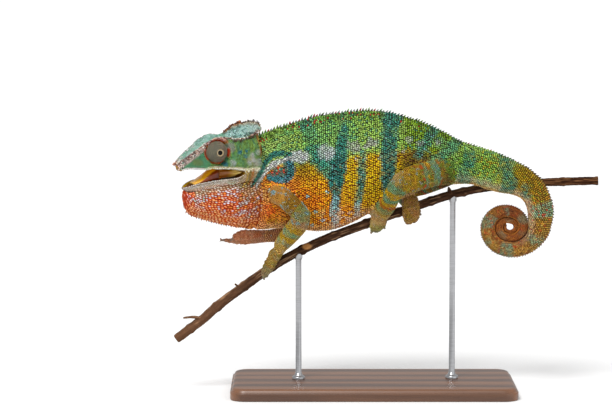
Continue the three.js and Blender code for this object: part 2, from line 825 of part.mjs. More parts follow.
const FOOT_RIGHT = {
  palm: [69.8, 2.5, 127.4],
  palmSize: [6.4, 5.8, 4.8],
  left: [
    [69.8, 0, 128.4, 2.8],
    [69.6, -5.4, 126.6, 3.0],
    [69.8, -7.4, 121, 3.1],
    [70.2, -5.4, 115.8, 2.6],
    [70.8, -2.0, 114.0, 1.7],
  ],
  right: [
    [70, 4, 127, 2.8],
    [70.6, 7.0, 123.4, 2.9],
    [71, 7.0, 120, 2.7],
    [71.4, 5.4, 117.8, 2.2],
    [71.6, 3.2, 116.8, 1.6],
  ],
  toes: [2, 3],
  wide: [5.2, 6.2, 6.8, 6.2, 3.8],
};

// The lifted right hand: it reaches forward, open, its two bundles one above the other.
function openHand() {
  const palm = new THREE.SphereGeometry(1, 9, 5);
  palm.scale(6.2, 4.4, 5.0);
  palm.translate(-32.5, 15.5, 102.2);
  const upper = new Tube(
    [
      [-32, 14, 103.4, 3.4, 4.0],
      [-39, 12.6, 104.4, 3.6, 4.3],
      [-45.5, 11.8, 103.0, 3.2, 3.8],
      [-49.4, 11.6, 101.4, 2.0, 2.4],
    ],
    SIDE,
  );
  const lower = new Tube(
    [
      [-33, 17, 100.6, 3.0, 3.2],
      [-41, 17.6, 98.8, 3.0, 2.8],
      [-49, 17.4, 98.8, 2.6, 2.6],
      [-55.5, 16.8, 99.8, 1.6, 1.5],
    ],
    SIDE,
  );
  const claws = [upper, lower].flatMap((tube) => [-0.9, 0.9].map((offset) => claw(tube, offset)));
  const bundles = [upper, lower].map((tube) => tube.solid(0, 1, 5, TOE_SIDES));
  return union([solidOf(palm), ...bundles, ...claws]);
}

// ---------------------------------------------------------------- assembly

const FLESH = { roughness: 0.62, metalness: 0 };
const PALETTE = {
  green: 0x4f8f4a,
  teal: 0x3a8b84,
  leaf: 0x7f9a2e,
  orange: 0xc86a24,
  red: 0xc8432a,
  beige: 0xa79c86,
  olive: 0x9a8432,
  pink: 0xb98a74,
  yellow: 0xd9a51c,
  grey: 0x77706a,
  bark: 0x4a3830,
  walnut: 0x5a3d28,
  steel: 0x9a9a9c,
};

const animal = new THREE.Group();

function add(name, solid, colour, finish = FLESH) {
  const { vertProperties, triVerts } = solid.getMesh();
  const geometry = new THREE.BufferGeometry();
  geometry.setAttribute("position", new THREE.BufferAttribute(vertProperties, 3));
  geometry.setIndex(new THREE.BufferAttribute(triVerts, 1));
  const mesh = new THREE.Mesh(geometry, new THREE.MeshStandardMaterial({ color: colour, ...finish }));
  mesh.name = name;
  animal.add(mesh);
  return solid;
}

const eyes = { eye_left: eye(-1), eye_right: eye(1) };
const head = without(union([skull(), casqueTip()]), Object.values(eyes));
add("head", head, PALETTE.teal);
Object.entries(eyes).forEach(([name, solid]) => add(name, solid, PALETTE.grey));
const jaw = add("lower_jaw", lowerJaw(), PALETTE.beige);
add("mouth_lining", largest(without(mouthLining(), [head, jaw])), PALETTE.yellow);
add("tongue", largest(without(tongue(), [head, jaw])), PALETTE.orange);
add("throat_pouch", union([throatPouch(), gularCrest()]), PALETTE.red);

const neckFrom = (HEAD_END - SPINE[0][0]) / (SPINE[1][0] - SPINE[0][0]);
const neckTo = 1 + (NECK_END - SPINE[1][0]) / (SPINE[2][0] - SPINE[1][0]);
const neck = union([spineLength(neckFrom, neckTo, 3, BODY_SIDES), backCrest(0.9, neckTo - 0.06)]);
add("neck", neck, PALETTE.leaf);
const trunk = union([
  spineLength(neckTo, TRUNK_END, 18, BODY_SIDES),
  backCrest(neckTo + 0.06, TRUNK_END - 0.05),
]);
add("trunk", trunk, PALETTE.green);

const TAIL_CUTS = [
  // station where each length ends, its number of rings, and whether the crest shows on it
  [TRUNK_END + 4, 8, true],
  [TRUNK_END + 7.6, 7, false],
  [TRUNK_END + 17, 9, false],
  [TRUNK_END + 26, 8, false],
  [LAST, 21, false],
];
let tailFrom = TRUNK_END;
const tails = TAIL_CUTS.map(([to, count, crested], i) => {
  const length = spineLength(tailFrom, to, count, TAIL_SIDES);
  const solid = crested ? union([length, backCrest(tailFrom + 0.05, to - 0.05)]) : length;
  tailFrom = to;
  return add(`tail_${i + 1}`, solid, i < 2 ? PALETTE.leaf : PALETTE.orange);
});

const perch = add("perch", branch(), PALETTE.bark, { roughness: 0.85, metalness: 0 });

const bodyNear = [neck, trunk, tails[0]];
const limbs = [
  ["upper_arm_left", "forearm_left", ARM_LEFT, ELBOW, PALETTE.orange],
  ["upper_arm_right", "forearm_right", ARM_RIGHT, ELBOW, PALETTE.orange],
  ["thigh_left", "shin_left", LEG_LEFT, KNEE, PALETTE.olive],
  ["thigh_right", "shin_right", LEG_RIGHT, KNEE, PALETTE.olive],
];
const lowerParts = limbs.map(([upperName, lowerName, tube, joint, colour]) => {
  const upper = largest(without(tube.solid(0, joint, 5, LIMB_SIDES), bodyNear));
  add(upperName, upper, colour);
  const lower = tube.solid(joint, 1, 5, LIMB_SIDES);
  return add(lowerName, largest(without(lower, [upper, ...bodyNear, perch])), colour);
});

const feet = [
  ["hand_left", grippingFoot(HAND_LEFT), 0],
  ["hand_right", openHand(), 1],
  ["foot_left", grippingFoot(FOOT_LEFT), 2],
  ["foot_right", grippingFoot(FOOT_RIGHT), 3],
];
feet.forEach(([name, solid, limb]) => {
  const near = [perch, lowerParts[limb], ...bodyNear];
  add(name, largest(without(solid, near)), name === "hand_right" ? PALETTE.pink : PALETTE.olive);
});

add("stand_base", standBase(), PALETTE.walnut, { roughness: 0.45, metalness: 0 });
ROD.x.forEach((x, i) => {
  add(`stand_rod_${i + 1}`, standRod(x, perch), PALETTE.steel, { roughness: 0.35, metalness: 1 });
});

// The origin is below the middle of the whole, on the surface that the base stands on.
const bounds = new THREE.Box3().setFromObject(animal);
const middle = bounds.getCenter(new THREE.Vector3());
animal.position.set(-middle.x, -middle.y, -bounds.min.z);

export default animal;
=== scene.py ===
# %% [markdown]
# # A panther chameleon on a cut branch, as a museum model
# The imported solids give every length, thickness and place. This script gives the animal its skin,
# its scales and its colours, the branch its bark, and the stand its finish.
# Everything is worked out in millimetres in the animal's own frame, where the head faces -X, the
# animal's left side faces -Y and the stand's base is centred at X = 45, and is turned to metres last.

# %% Load the fixed frame
import json
import math

import bmesh
import bpy
import numpy as np
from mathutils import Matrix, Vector
from mathutils.bvhtree import BVHTree
from mathutils.kdtree import KDTree
from numpy.linalg import norm
from numpy.random import default_rng

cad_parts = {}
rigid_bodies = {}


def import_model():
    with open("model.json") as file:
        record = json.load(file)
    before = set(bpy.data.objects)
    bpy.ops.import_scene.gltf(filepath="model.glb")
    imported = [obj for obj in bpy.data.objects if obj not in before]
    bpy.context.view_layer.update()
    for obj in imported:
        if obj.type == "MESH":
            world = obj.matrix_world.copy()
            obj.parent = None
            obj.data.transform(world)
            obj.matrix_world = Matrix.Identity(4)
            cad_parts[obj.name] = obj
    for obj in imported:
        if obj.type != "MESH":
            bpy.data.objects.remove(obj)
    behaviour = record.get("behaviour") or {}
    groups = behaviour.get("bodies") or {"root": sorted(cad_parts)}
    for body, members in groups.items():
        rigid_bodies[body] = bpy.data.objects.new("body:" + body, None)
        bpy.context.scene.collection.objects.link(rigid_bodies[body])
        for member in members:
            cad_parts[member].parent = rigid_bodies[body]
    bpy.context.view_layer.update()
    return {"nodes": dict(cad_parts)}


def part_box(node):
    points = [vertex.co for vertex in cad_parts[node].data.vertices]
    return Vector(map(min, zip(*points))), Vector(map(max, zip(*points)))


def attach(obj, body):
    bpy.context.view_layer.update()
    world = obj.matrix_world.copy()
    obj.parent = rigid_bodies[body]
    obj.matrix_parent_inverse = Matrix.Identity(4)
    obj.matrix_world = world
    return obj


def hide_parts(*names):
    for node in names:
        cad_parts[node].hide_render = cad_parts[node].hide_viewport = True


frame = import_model()
MM = 0.001
BASE_CENTRE_X = 45.0
base_low, base_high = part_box("stand_base")
SHIFT = np.array([(base_low.x + base_high.x) / 2 / MM - BASE_CENTRE_X, 0.0, 0.0])
print("nodes:", len(frame["nodes"]), " shift in mm:", SHIFT.round(2))

# %% [markdown]
# ## The animal's measures
# A chameleon's back and belly are two long curves. The stations below give both edges and the half
# width between them, from the neck to the tail's root and on round the coil. They are the measures
# that the solids were drawn from. With them any point of the body gets body coordinates: how far
# along, how high between belly and back, and which side. Markings and scale rows follow those.

# %% Smooth functions through rows of numbers
def smooth_rows(table):
    """A smooth function for all columns of a table whose first column is the position."""
    rows = np.array(table, float)
    x, y = rows[:, 0], rows[:, 1:]
    low = np.maximum(np.arange(len(x)) - 1, 0)
    high = np.minimum(np.arange(len(x)) + 1, len(x) - 1)
    slope = (y[high] - y[low]) / (x[high] - x[low])[:, None]

    def at(v):
        v = np.clip(np.asarray(v, float), x[0], x[-1])
        i = np.clip(np.searchsorted(x, v, "right") - 1, 0, len(x) - 2)
        span = (x[i + 1] - x[i])[..., None]
        t = ((v - x[i]) / (x[i + 1] - x[i]))[..., None]
        rise = y[i + 1] - y[i]
        enter, leave = slope[i] * span, slope[i + 1] * span
        return y[i] + rise * t + t * (1 - t) * ((enter - rise) * (1 - t) - (leave - rise) * t)

    return at


def ramp(low, high, v):
    """0 at low and 1 at high, with a soft start and end."""
    t = np.clip((np.asarray(v, float) - low) / (high - low), 0, 1)
    return t * t * (3 - 2 * t)


def stripe(v, low, high, soft=1.0):
    """1 between low and high, with soft edges."""
    return ramp(low - soft, low + soft, v) * (1 - ramp(high - soft, high + soft, v))


def near(distance, width):
    """1 on a feature, falling off smoothly with the distance from it."""
    return np.exp(-((distance / width) ** 2))


def blend(a, b, share):
    """From a to b by each row's share."""
    return a + (b - a) * np.asarray(share)[:, None]


def running(steps):
    """The sum up to each place, from 0."""
    return np.concatenate([[0], np.cumsum(steps)])


print("a ramp at a quarter and a half:", ramp(0, 1, [0.25, 0.5]).round(3))

# %% Back edge, belly edge and half width, by station
SPINE = [  # back x, z; belly x, z; half width
    [-36, 171.5, -36, 109.4, 12.8], [-28, 174.4, -28, 109.2, 13.0], [-20, 177.1, -20, 109.6, 13.2],
    [-8, 181.0, -8, 109.4, 13.6], [7, 185.2, 7, 107.9, 14.0], [19, 187.2, 19, 109.2, 14.2],
    [31, 188.5, 31, 113.7, 14.2], [43, 188.9, 43, 120.2, 13.8], [55, 187.5, 55, 126.1, 13.2],
    [67, 184.3, 66, 130.6, 12.4], [79, 180.2, 76, 135.2, 11.6], [91, 174.6, 86, 138.2, 10.6],
    [103.3, 168.2, 97, 139.2, 9.4], [115.3, 164.4, 109.5, 139.4, 8.6],
    [127.5, 160.5, 119.5, 136.4, 8.2], [138.5, 155.6, 127.6, 134.2, 7.8],
    [149.0, 149.5, 136.6, 132.8, 7.4], [157.3, 141.9, 143.0, 130.0, 6.9],
    [162.5, 131.8, 146.4, 125.4, 6.4], [164.6, 121.0, 147.8, 119.0, 5.9],
]
TAIL_ROOT = 12  # station where the tail begins
COIL_CENTRE = np.array([135.4, 111.4])
COIL_TURNS = [  # quarter turns, outer radius, thickness, half width
    [0, 28.2, 15.6, 5.6], [0.25, 25.4, 12.9, 5.5], [0.5, 23.1, 11.1, 5.2], [1, 20.5, 9.9, 4.9],
    [2, 19.3, 9.0, 4.3], [3, 14.5, 7.7, 3.8], [4, 12.5, 6.0, 3.2], [5, 9.9, 4.5, 2.7],
    [6, 9.6, 4.8, 2.3], [7, 6.1, 3.6, 1.9], [8, 5.8, 2.7, 1.5], [9, 4.8, 2.3, 1.2],
    [10, 4.0, 1.9, 1.0], [11, 2.6, 1.2, 0.7],
]


def coil_rows():
    quarters = np.linspace(0.12, 10.5, 49)
    outer, thick, half = smooth_rows(COIL_TURNS)(quarters).T
    inner = np.maximum(outer - thick, 0.6)
    ray = np.stack([np.cos(quarters * math.pi / 2), -np.sin(quarters * math.pi / 2)], 1)
    return np.hstack([COIL_CENTRE + ray * outer[:, None], COIL_CENTRE + ray * inner[:, None],
                      half[:, None]])


STATIONS = np.vstack([SPINE, coil_rows()])
LAST = len(STATIONS) - 1
edges_at = smooth_rows(np.column_stack([np.arange(LAST + 1), STATIONS]))
sway_at = smooth_rows([[TAIL_ROOT - 1, 0], [TAIL_ROOT + 3, -4], [LAST, -4]])
keel_at = smooth_rows([[0, 0.9], [4, 0.95], [12, 0.72], [18, 0.55], [22, 0.5]])
waist_at = smooth_rows([[0, 0.5], [4, 0.44], [8, 0.44], [12, 0.5], [LAST, 0.5]])


def ruling(s):
    """Belly point, vector from belly to back, and its length, in the side plane at station s."""
    row = edges_at(s)
    belly, up = row[..., 2:4], row[..., 0:2] - row[..., 2:4]
    return belly, up, norm(up, axis=-1)


print("stations:", LAST + 1, " tail root depth:", round(float(ruling(12.0)[2]), 1), "mm")

# %% [markdown]
# ## Laying the animal out straight
# Working on a head that is turned and a tail that is rolled up is hard: the turns of the coil lie
# a hair apart and would grow together in a voxel remesh, and the left cheek would need other
# numbers than the right. So the flesh is first laid out straight, like a pattern on a bench. The
# skin is made there, and each of its points is then carried back into the pose. Small parts are
# also enlarged on the bench, so that an even voxel grid spends more of its cells on them.

# %% The turn of the neck, and its inverse
HEAD_YAW, HEAD_ROLL = math.radians(23), math.radians(2)
BEND_START, BEND_END, ROLL_HEIGHT = -14.0, -30.0, 150.0
BEND_RADIUS = (BEND_START - BEND_END) / HEAD_YAW


def turn_neck(p):
    share = np.clip((BEND_START - p[:, 0]) / (BEND_START - BEND_END), 0, 1)
    yaw, roll = HEAD_YAW * share, HEAD_ROLL * share
    beyond, before = np.maximum(BEND_END - p[:, 0], 0), np.maximum(p[:, 0] - BEND_START, 0)
    height = p[:, 2] - ROLL_HEIGHT
    reach = BEND_RADIUS + p[:, 1] * np.cos(roll) - height * np.sin(roll)
    return np.stack([
        BEND_START + before - reach * np.sin(yaw) - beyond * np.cos(yaw),
        reach * np.cos(yaw) - beyond * np.sin(yaw) - BEND_RADIUS,
        ROLL_HEIGHT + p[:, 1] * np.sin(roll) + height * np.cos(roll),
    ], 1)


def straighten_neck(p):
    dx, dy = p[:, 0] - BEND_START, p[:, 1] + BEND_RADIUS
    yaw = np.clip(np.arctan2(-dx, dy), 0, HEAD_YAW)
    reach = np.where(dx > 0, dy, -dx * np.sin(yaw) + dy * np.cos(yaw))
    beyond = np.maximum(-dx * np.cos(yaw) - dy * np.sin(yaw), 0)
    share = yaw / HEAD_YAW
    side, height, roll = reach - BEND_RADIUS, p[:, 2] - ROLL_HEIGHT, HEAD_ROLL * share
    x = np.where(dx > 0, p[:, 0], BEND_START + (BEND_END - BEND_START) * share - beyond)
    return np.stack([x, side * np.cos(roll) + height * np.sin(roll),
                     ROLL_HEIGHT - side * np.sin(roll) + height * np.cos(roll)], 1)


print("the neck bends round a radius of", round(BEND_RADIUS, 1), "mm")

# %% The roll of the tail, and its inverse
s_fine = np.linspace(TAIL_ROOT, LAST, 6000)
fine_belly, fine_up, fine_depth = ruling(s_fine)
fine_length = running(norm(np.diff(fine_belly + fine_up / 2, axis=0), axis=1))
TAIL_LENGTH = fine_length[-1]
ROOT_BELLY, ROOT_UP, ROOT_DEPTH = ruling(float(TAIL_ROOT))
ROOT_UP = ROOT_UP / ROOT_DEPTH
ROOT_AHEAD = np.array([ROOT_UP[1], -ROOT_UP[0]])
TAIL_MID = ROOT_DEPTH / 2


def split_tail(p):
    """How far along the laid-out tail and how high above its lower edge."""
    offset = p[:, [0, 2]] - ROOT_BELLY
    return offset @ ROOT_AHEAD, offset @ ROOT_UP


def on_tail(along, high):
    """The x and z of a place on the laid-out tail."""
    return ROOT_BELLY + along[..., None] * ROOT_AHEAD + high[..., None] * ROOT_UP


def roll_tail(p):
    """Laid-out points past the tail's root go round the tail's real path."""
    along, high = split_tail(p)
    tail = np.flatnonzero(along > 0)
    along, high = along[tail], high[tail]
    belly, up, depth = ruling(np.interp(along, fine_length, s_fine))
    h = (high - (ROOT_DEPTH - depth) / 2) / depth
    over = np.maximum(along - TAIL_LENGTH, 0)[:, None]
    ahead = np.stack([up[:, 1], -up[:, 0]], 1) / depth[:, None]
    out = p.copy()
    out[np.ix_(tail, [0, 2])] = belly + up * h[:, None] + ahead * over
    return out


def unroll_tail(p):
    """Points of the tail's solids, laid out straight behind the trunk."""
    out = p.copy()
    for i, point in enumerate(p[:, [0, 2]]):
        rel = point - fine_belly
        h = np.clip((rel * fine_up).sum(1) / fine_depth**2, -0.05, 1.12)
        k = int(norm(rel - fine_up * h[:, None], axis=1).argmin())
        high = (ROOT_DEPTH - fine_depth[k]) / 2 + (rel[k] @ fine_up[k]) / fine_depth[k]
        out[i, [0, 2]] = ROOT_BELLY + ROOT_AHEAD * fine_length[k] + ROOT_UP * high
    return out


def to_pose(p):
    return roll_tail(turn_neck(p))


print("tail length:", round(float(TAIL_LENGTH)), "mm along its middle")

# %% The bench scale: head and thin tail are enlarged while the voxels are cut
HEAD_SCALE = 1.5
x_fine = np.linspace(-110, 120, 2400)
head_factor = 1 + (HEAD_SCALE - 1) * (1 - ramp(-44, -26, x_fine))
head_reach = running(head_factor[1:] * np.diff(x_fine))
head_reach += -20 - np.interp(-20, x_fine, head_reach)
tail_factor = np.clip(7.0 / fine_depth, 1, 4)
tail_reach = running(tail_factor[1:] * np.diff(fine_length))


def bench_scale(p, back=False):
    """Enlarges laid-out points for the voxels, or takes them back to their true size."""
    out, power = p.copy(), -1 if back else 1
    out[:, 0] = np.interp(p[:, 0], *(x_fine, head_reach)[::power])
    factor = np.interp((out if back else p)[:, 0], x_fine, head_factor) ** power
    out[:, 1] = p[:, 1] * factor
    out[:, 2] = ROLL_HEIGHT + (p[:, 2] - ROLL_HEIGHT) * factor
    start, high = split_tail(p)
    tail = np.flatnonzero(start > 0)
    start, high = start[tail], high[tail]
    before, after = (fine_length, tail_reach)[::power]
    end = np.interp(start, before, after) + np.maximum(start - before[-1], 0)
    true = end if back else start
    grow = np.interp(true, fine_length, tail_factor) ** power
    sway = sway_at(np.interp(true, fine_length, s_fine))[:, 0]
    out[np.ix_(tail, [0, 2])] = on_tail(end, TAIL_MID + (high - TAIL_MID) * grow)
    out[tail, 1] = sway + (p[tail, 1] - sway) * grow
    return out


print("enlarged on the bench: head", HEAD_SCALE, "times, tail up to", tail_factor.max().round(1), "times")

# %% [markdown]
# ## Flesh to skin
# The solids are named pieces with a hair of clearance between them. A living skin has no such
# gaps. Copies of the flesh solids are laid out, swollen a little so that neighbours meet, and
# turned into one closed skin by a voxel remesh. It is then drawn in to leave room for the scales.

# %% Gather the flesh solids on the bench
FLESH = """head lower_jaw throat_pouch neck trunk tail_1 tail_2 tail_3 tail_4 tail_5 upper_arm_left
forearm_left upper_arm_right forearm_right thigh_left shin_left thigh_right shin_right hand_left
hand_right foot_left foot_right""".split()
EYES = ["eye_left", "eye_right"]
SWELL = 0.35
SCALE_DEPTH = 0.35


def solid_of(node):
    """A CAD node's merged points in millimetres and its triangles."""
    mesh = bmesh.new()
    mesh.from_mesh(frame["nodes"][node].data)
    bmesh.ops.remove_doubles(mesh, verts=mesh.verts, dist=1e-6)
    bmesh.ops.triangulate(mesh, faces=mesh.faces)
    points = np.array([v.co for v in mesh.verts]) / MM - SHIFT
    faces = np.array([[v.index for v in f.verts] for f in mesh.faces])
    mesh.free()
    return points, faces


def normals_of(points, faces):
    a, b, c = points[faces].transpose(1, 0, 2)
    face = np.cross(b - a, c - a)
    total = np.stack([sum(np.bincount(faces[:, k], face[:, axis], len(points)) for k in range(3))
                      for axis in range(3)], 1)
    return total / np.maximum(norm(total, axis=1, keepdims=True), 1e-12)


EYE = {"x": -65.4, "z": 163.4, "centre": 8.2, "radius": 7.9}
flesh_parts, count = [], 0
for number, node in enumerate(FLESH + EYES):
    points, faces = solid_of(node)
    points = unroll_tail(points) if node.startswith("tail") else straighten_neck(points)
    if node in EYES:  # fills the socket, a little short of the turret
        heart = np.array([EYE["x"], EYE["centre"] * (-1 if node == "eye_left" else 1), EYE["z"]])
        points = heart + (points - heart) * 0.86
    flesh_parts.append((points + SWELL * normals_of(points, faces), faces + count, np.full(len(faces), number)))
    count += len(points)
bench_points, bench_faces, bench_node = (np.concatenate(part) for part in zip(*flesh_parts))
print("flesh on the bench:", len(bench_faces), "triangles")

# %% One closed skin from a voxel remesh
VOXEL = 0.97  # mm on the bench


def new_mesh(name, points, faces):
    mesh = bpy.data.meshes.new(name)
    mesh.from_pydata(np.asarray(points, float).tolist(), [], [[int(i) for i in face] for face in faces])
    mesh.update()
    return mesh


def new_object(name, mesh):
    thing = bpy.data.objects.new(name, mesh)
    bpy.context.scene.collection.objects.link(thing)
    return thing


def plain(thing, name):
    """The evaluated shape of an object as a mesh of its own. The object is removed."""
    graph = bpy.context.evaluated_depsgraph_get()
    mesh = bpy.data.meshes.new_from_object(thing.evaluated_get(graph))
    mesh.name = name
    bpy.data.objects.remove(thing)
    return mesh


def mesh_arrays(mesh):
    points = np.zeros(len(mesh.vertices) * 3)
    mesh.vertices.foreach_get("co", points)
    mesh.calc_loop_triangles()
    faces = np.zeros(len(mesh.loop_triangles) * 3, np.int64)
    mesh.loop_triangles.foreach_get("vertices", faces)
    return points.reshape(-1, 3), faces.reshape(-1, 3)


def voxel_skin(name, points, faces, voxel):
    """Points and triangles of one closed skin round a set of solids."""
    lump = new_object(name, new_mesh(name, points, faces))
    remesh = lump.modifiers.new("voxels", "REMESH")
    remesh.mode, remesh.voxel_size, remesh.adaptivity = "VOXEL", voxel, 0
    return mesh_arrays(plain(lump, name))


laid, tris = voxel_skin("flesh", bench_scale(bench_points), bench_faces, VOXEL)
laid = bench_scale(laid, back=True)
print("skin:", len(laid), "points,", len(tris), "triangles")

# %% [markdown]
# ## Smoothing without losing the shape
# The remesh copies the flat facets of the solids. Along the trunk and the tail the true section is
# known at every station, so those points are set straight onto it, which also takes off the coarse
# teeth of the crests. Elsewhere the skin is smoothed by pairs of passes, one in and one out, which
# take away corners and keep the volume.

# %% Neighbours, smoothing and regions
def links_of(faces):
    """The edges of a mesh, each once."""
    return np.unique(np.sort(np.vstack([faces[:, [0, 1]], faces[:, [1, 2]], faces[:, [2, 0]]]), 1), axis=0)


def spread(values, links=None):
    """The mean over each point's neighbours."""
    a, b = (skin_links if links is None else links).T
    count = len(values)
    total = np.stack([np.bincount(a, column[b], count) + np.bincount(b, column[a], count)
                      for column in values.reshape(count, -1).T], 1)
    degree = np.bincount(np.concatenate([a, b]), minlength=count)
    return (total / degree[:, None]).reshape(values.shape)


def soften(p, rounds, share=1.0, steps=(0.55, -0.57), links=None):
    """Pairs of passes, one in and one out, that take away corners and keep the volume."""
    share = np.broadcast_to(share, len(p))[:, None]
    for _ in range(rounds):
        for step in steps:
            p = p + (spread(p, links) - p) * step * share
    return p


skin_links = links_of(tris)
bench_tree = BVHTree.FromPolygons(bench_points.tolist(), bench_faces.tolist())
region = bench_node[[bench_tree.find_nearest(p)[2] for p in laid.tolist()]]
ROLE = {name: k for k, name in enumerate(FLESH + EYES)}


def belongs(where, names):
    return np.isin(where, [ROLE[n] for n in names])


def part_of(*names):
    return belongs(region, names)


BODY = ["neck", "trunk", *(f"tail_{k}" for k in range(1, 6))]
print("skin:", len(laid), "points; on the body:", int(part_of(*BODY).sum()))


# %% Body coordinates: station, height from belly to back, and the true section
def body_coords(p):
    along, high = split_tail(p)
    station = np.interp(p[:, 0], STATIONS[:13, [0, 2]].mean(1), np.arange(13.0))
    for _ in range(5):
        belly, up, depth = ruling(station)
        rel = p[:, [0, 2]] - belly
        miss = (up[:, 0] * rel[:, 1] - up[:, 1] * rel[:, 0]) / depth
        pace = norm(ruling(station + 0.1)[0] + ruling(station + 0.1)[1] / 2
                              - belly - up / 2, axis=1) / 0.1
        station = np.clip(station - miss / np.maximum(pace, 2), 0, TAIL_ROOT)
    belly, up, depth = ruling(station)
    height = ((p[:, [0, 2]] - belly) * up).sum(1) / depth**2
    tail = along > 0
    station[tail] = np.interp(along[tail], fine_length, s_fine)
    depth = ruling(station)[2]
    height[tail] = ((high - (ROOT_DEPTH - depth) / 2) / depth)[tail]
    return station, height, depth


def on_ring(s, angle, side, inset=SCALE_DEPTH):
    """Laid-out places on the body's section at stations s: angle 0 is the back, pi the belly."""
    belly, up, depth = ruling(s)
    wide, power, rise = waist_at(s)[..., 0], keel_at(s)[..., 0], np.cos(angle)
    height = wide + np.where(rise > 0, 1 - wide, wide) * rise
    height = 0.5 + (height - 0.5) * (1 - 2 * inset / depth)
    half = edges_at(s)[..., 4] - inset
    y = sway_at(s)[..., 0] + side * half * np.abs(np.sin(angle)) ** np.where(rise > 0, 2 * power, 1.0)
    straight = on_tail(np.interp(s, s_fine, fine_length), (ROOT_DEPTH - depth) / 2 + height * depth)
    flat = np.where((s > TAIL_ROOT)[..., None], straight, belly + up * height[..., None])
    return np.stack([flat[..., 0], y, flat[..., 1]], -1)


def on_section(p):
    """The nearest place on the body's true section, drawn in by the scales' depth, and its angle."""
    station, height, _ = body_coords(p)
    wide, offset = waist_at(station)[:, 0], p[:, 1] - sway_at(station)[:, 0]
    upper = height > wide
    side = np.abs(offset) / (edges_at(station)[:, 4] - SCALE_DEPTH)
    bend = np.where(upper, 2 * keel_at(station)[:, 0], 1.0)
    angle = np.arctan2(side ** (1 / bend), (height - wide) / np.where(upper, 1 - wide, wide))
    return on_ring(station, angle, np.sign(offset)), angle


print("sections: keel of", keel_at([0, 12, 22])[:, 0], "at neck, root and coil")

# %% Draw the skin in and set the body onto its section
body = part_of(*BODY)
section, ring_angle = on_section(laid)
gap = norm(section - laid, axis=1)
reach = np.where(ring_angle < 0.35, 3.2, 1.9)
hold = body * (1 - ramp(reach - 0.9, reach, gap)) * (laid[:, 0] > -33)
hold[split_tail(laid)[0] > TAIL_LENGTH - 1] = 0

rounds = np.where(part_of("throat_pouch"), 1.0, 0.75)
laid = soften(laid, 14, rounds * (1 - hold))
laid = laid - normals_of(laid, tris) * ((SWELL + SCALE_DEPTH) * (1 - hold))[:, None]
laid = soften(blend(laid, section, hold), 4, 0.8)
station, height, _ = body_coords(laid)
quarter = 0.12 + (station - len(SPINE)) * 10.38 / 48
fill_in = np.interp(quarter, [-0.6, 0.2, 1, 8, 10.5], [0, 0.65, 0.8, 0.8, 0.5])
fill_in *= ramp(0.55, 0.2, height)
fill_out = np.interp(quarter, [3.6, 4.2, 5, 10.5], [0, 0.7, 0.8, 0.7]) * ramp(0.45, 0.8, height)
rise = (fill_out - fill_in) * part_of(*BODY[2:])
laid[:, [0, 2]] += rise[:, None] * ROOT_UP
print("held to the true section:", int((hold > 0.5).sum()), "points")

# %% [markdown]
# ## Modelling the head and the folds
# A panther chameleon's head has bony ridges: one on each side from the tip of the snout over the
# eye to the back of the casque, and a thin one along the top of the casque. There are a groove
# round each turret eye, a nostril, a lip on each jaw, and soft folds that fan out below the corner
# of the mouth. Each is a small push along the surface's own direction, given by the distance to
# that feature, as a modeller would draw it with a brush.

# %% Measures of the head
SKULL = [  # x; crown z; crest half width, z; side half width; lip half width, z
    [-91.9, 154.9, 0.9, 155.0, 0.9, 0.7, 153.9], [-89.6, 155.9, 2.6, 156.6, 2.5, 2.5, 151.2],
    [-86.0, 158.0, 4.8, 159.4, 4.9, 4.9, 151.5], [-80.8, 161.4, 6.7, 163.4, 7.1, 7.5, 151.7],
    [-75.2, 165.4, 8.0, 167.3, 8.5, 9.5, 151.8], [-71.4, 168.4, 8.9, 170.2, 9.0, 10.7, 152.1],
    [-67.6, 170.8, 9.6, 172.4, 9.4, 11.6, 153.2], [-62.8, 172.2, 10.1, 173.3, 9.8, 12.4, 153.6],
    [-57.5, 175.2, 10.2, 172.7, 10.6, 13.1, 152.8], [-51.7, 180.2, 10.0, 172.1, 12.0, 13.6, 151.6],
    [-46.0, 182.3, 9.2, 172.3, 12.8, 13.8, 150.2], [-40.0, 183.0, 7.0, 173.9, 12.8, 13.6, 150.2],
    [-34.0, 182.3, 3.8, 175.2, 12.2, 13.2, 150.2], [-30.6, 179.6, 1.6, 176.4, 12.0, 13.0, 150.2],
]
JAW = [  # x; lip half width, z; lower edge z
    [-85.8, 2.0, 140.0, 138.0], [-84.2, 4.6, 141.1, 136.9], [-81.0, 7.2, 142.6, 137.3],
    [-77.2, 9.0, 143.8, 138.2], [-71.2, 10.9, 145.0, 139.4], [-65.4, 12.0, 145.9, 140.4],
    [-58.5, 13.0, 146.5, 141.6], [-51.4, 13.5, 147.2, 142.8], [-46.0, 13.8, 149.6, 143.4],
    [-34.0, 13.2, 149.8, 143.4],
]
GULAR = [  # x; z of the throat's keel; half width
    [-85.6, 131.0, 1.6], [-84.9, 127.4, 3.8], [-83.2, 123.4, 6.2], [-79.8, 120.6, 8.6],
    [-75.0, 118.7, 10.3], [-69.4, 116.9, 11.3], [-59.8, 114.1, 12.3], [-50.0, 111.8, 12.8],
    [-40.0, 110.0, 12.8], [-34.0, 109.3, 12.7],
]
MOUTH_CORNER = np.array([-44.5, 148.4])
HEAD = part_of("head", "eye_left", "eye_right")
JAWS, THROAT = part_of("lower_jaw"), part_of("throat_pouch")
skull_at, jaw_at, gular_at = smooth_rows(SKULL), smooth_rows(JAW), smooth_rows(GULAR)


def lip_sag(x):
    """How far the upper lip hangs lower, mid-way and at the snout's tip."""
    return 1.9 * near(x + 62, 9.5) + 1.3 * near(x + 88.0, 2.0)


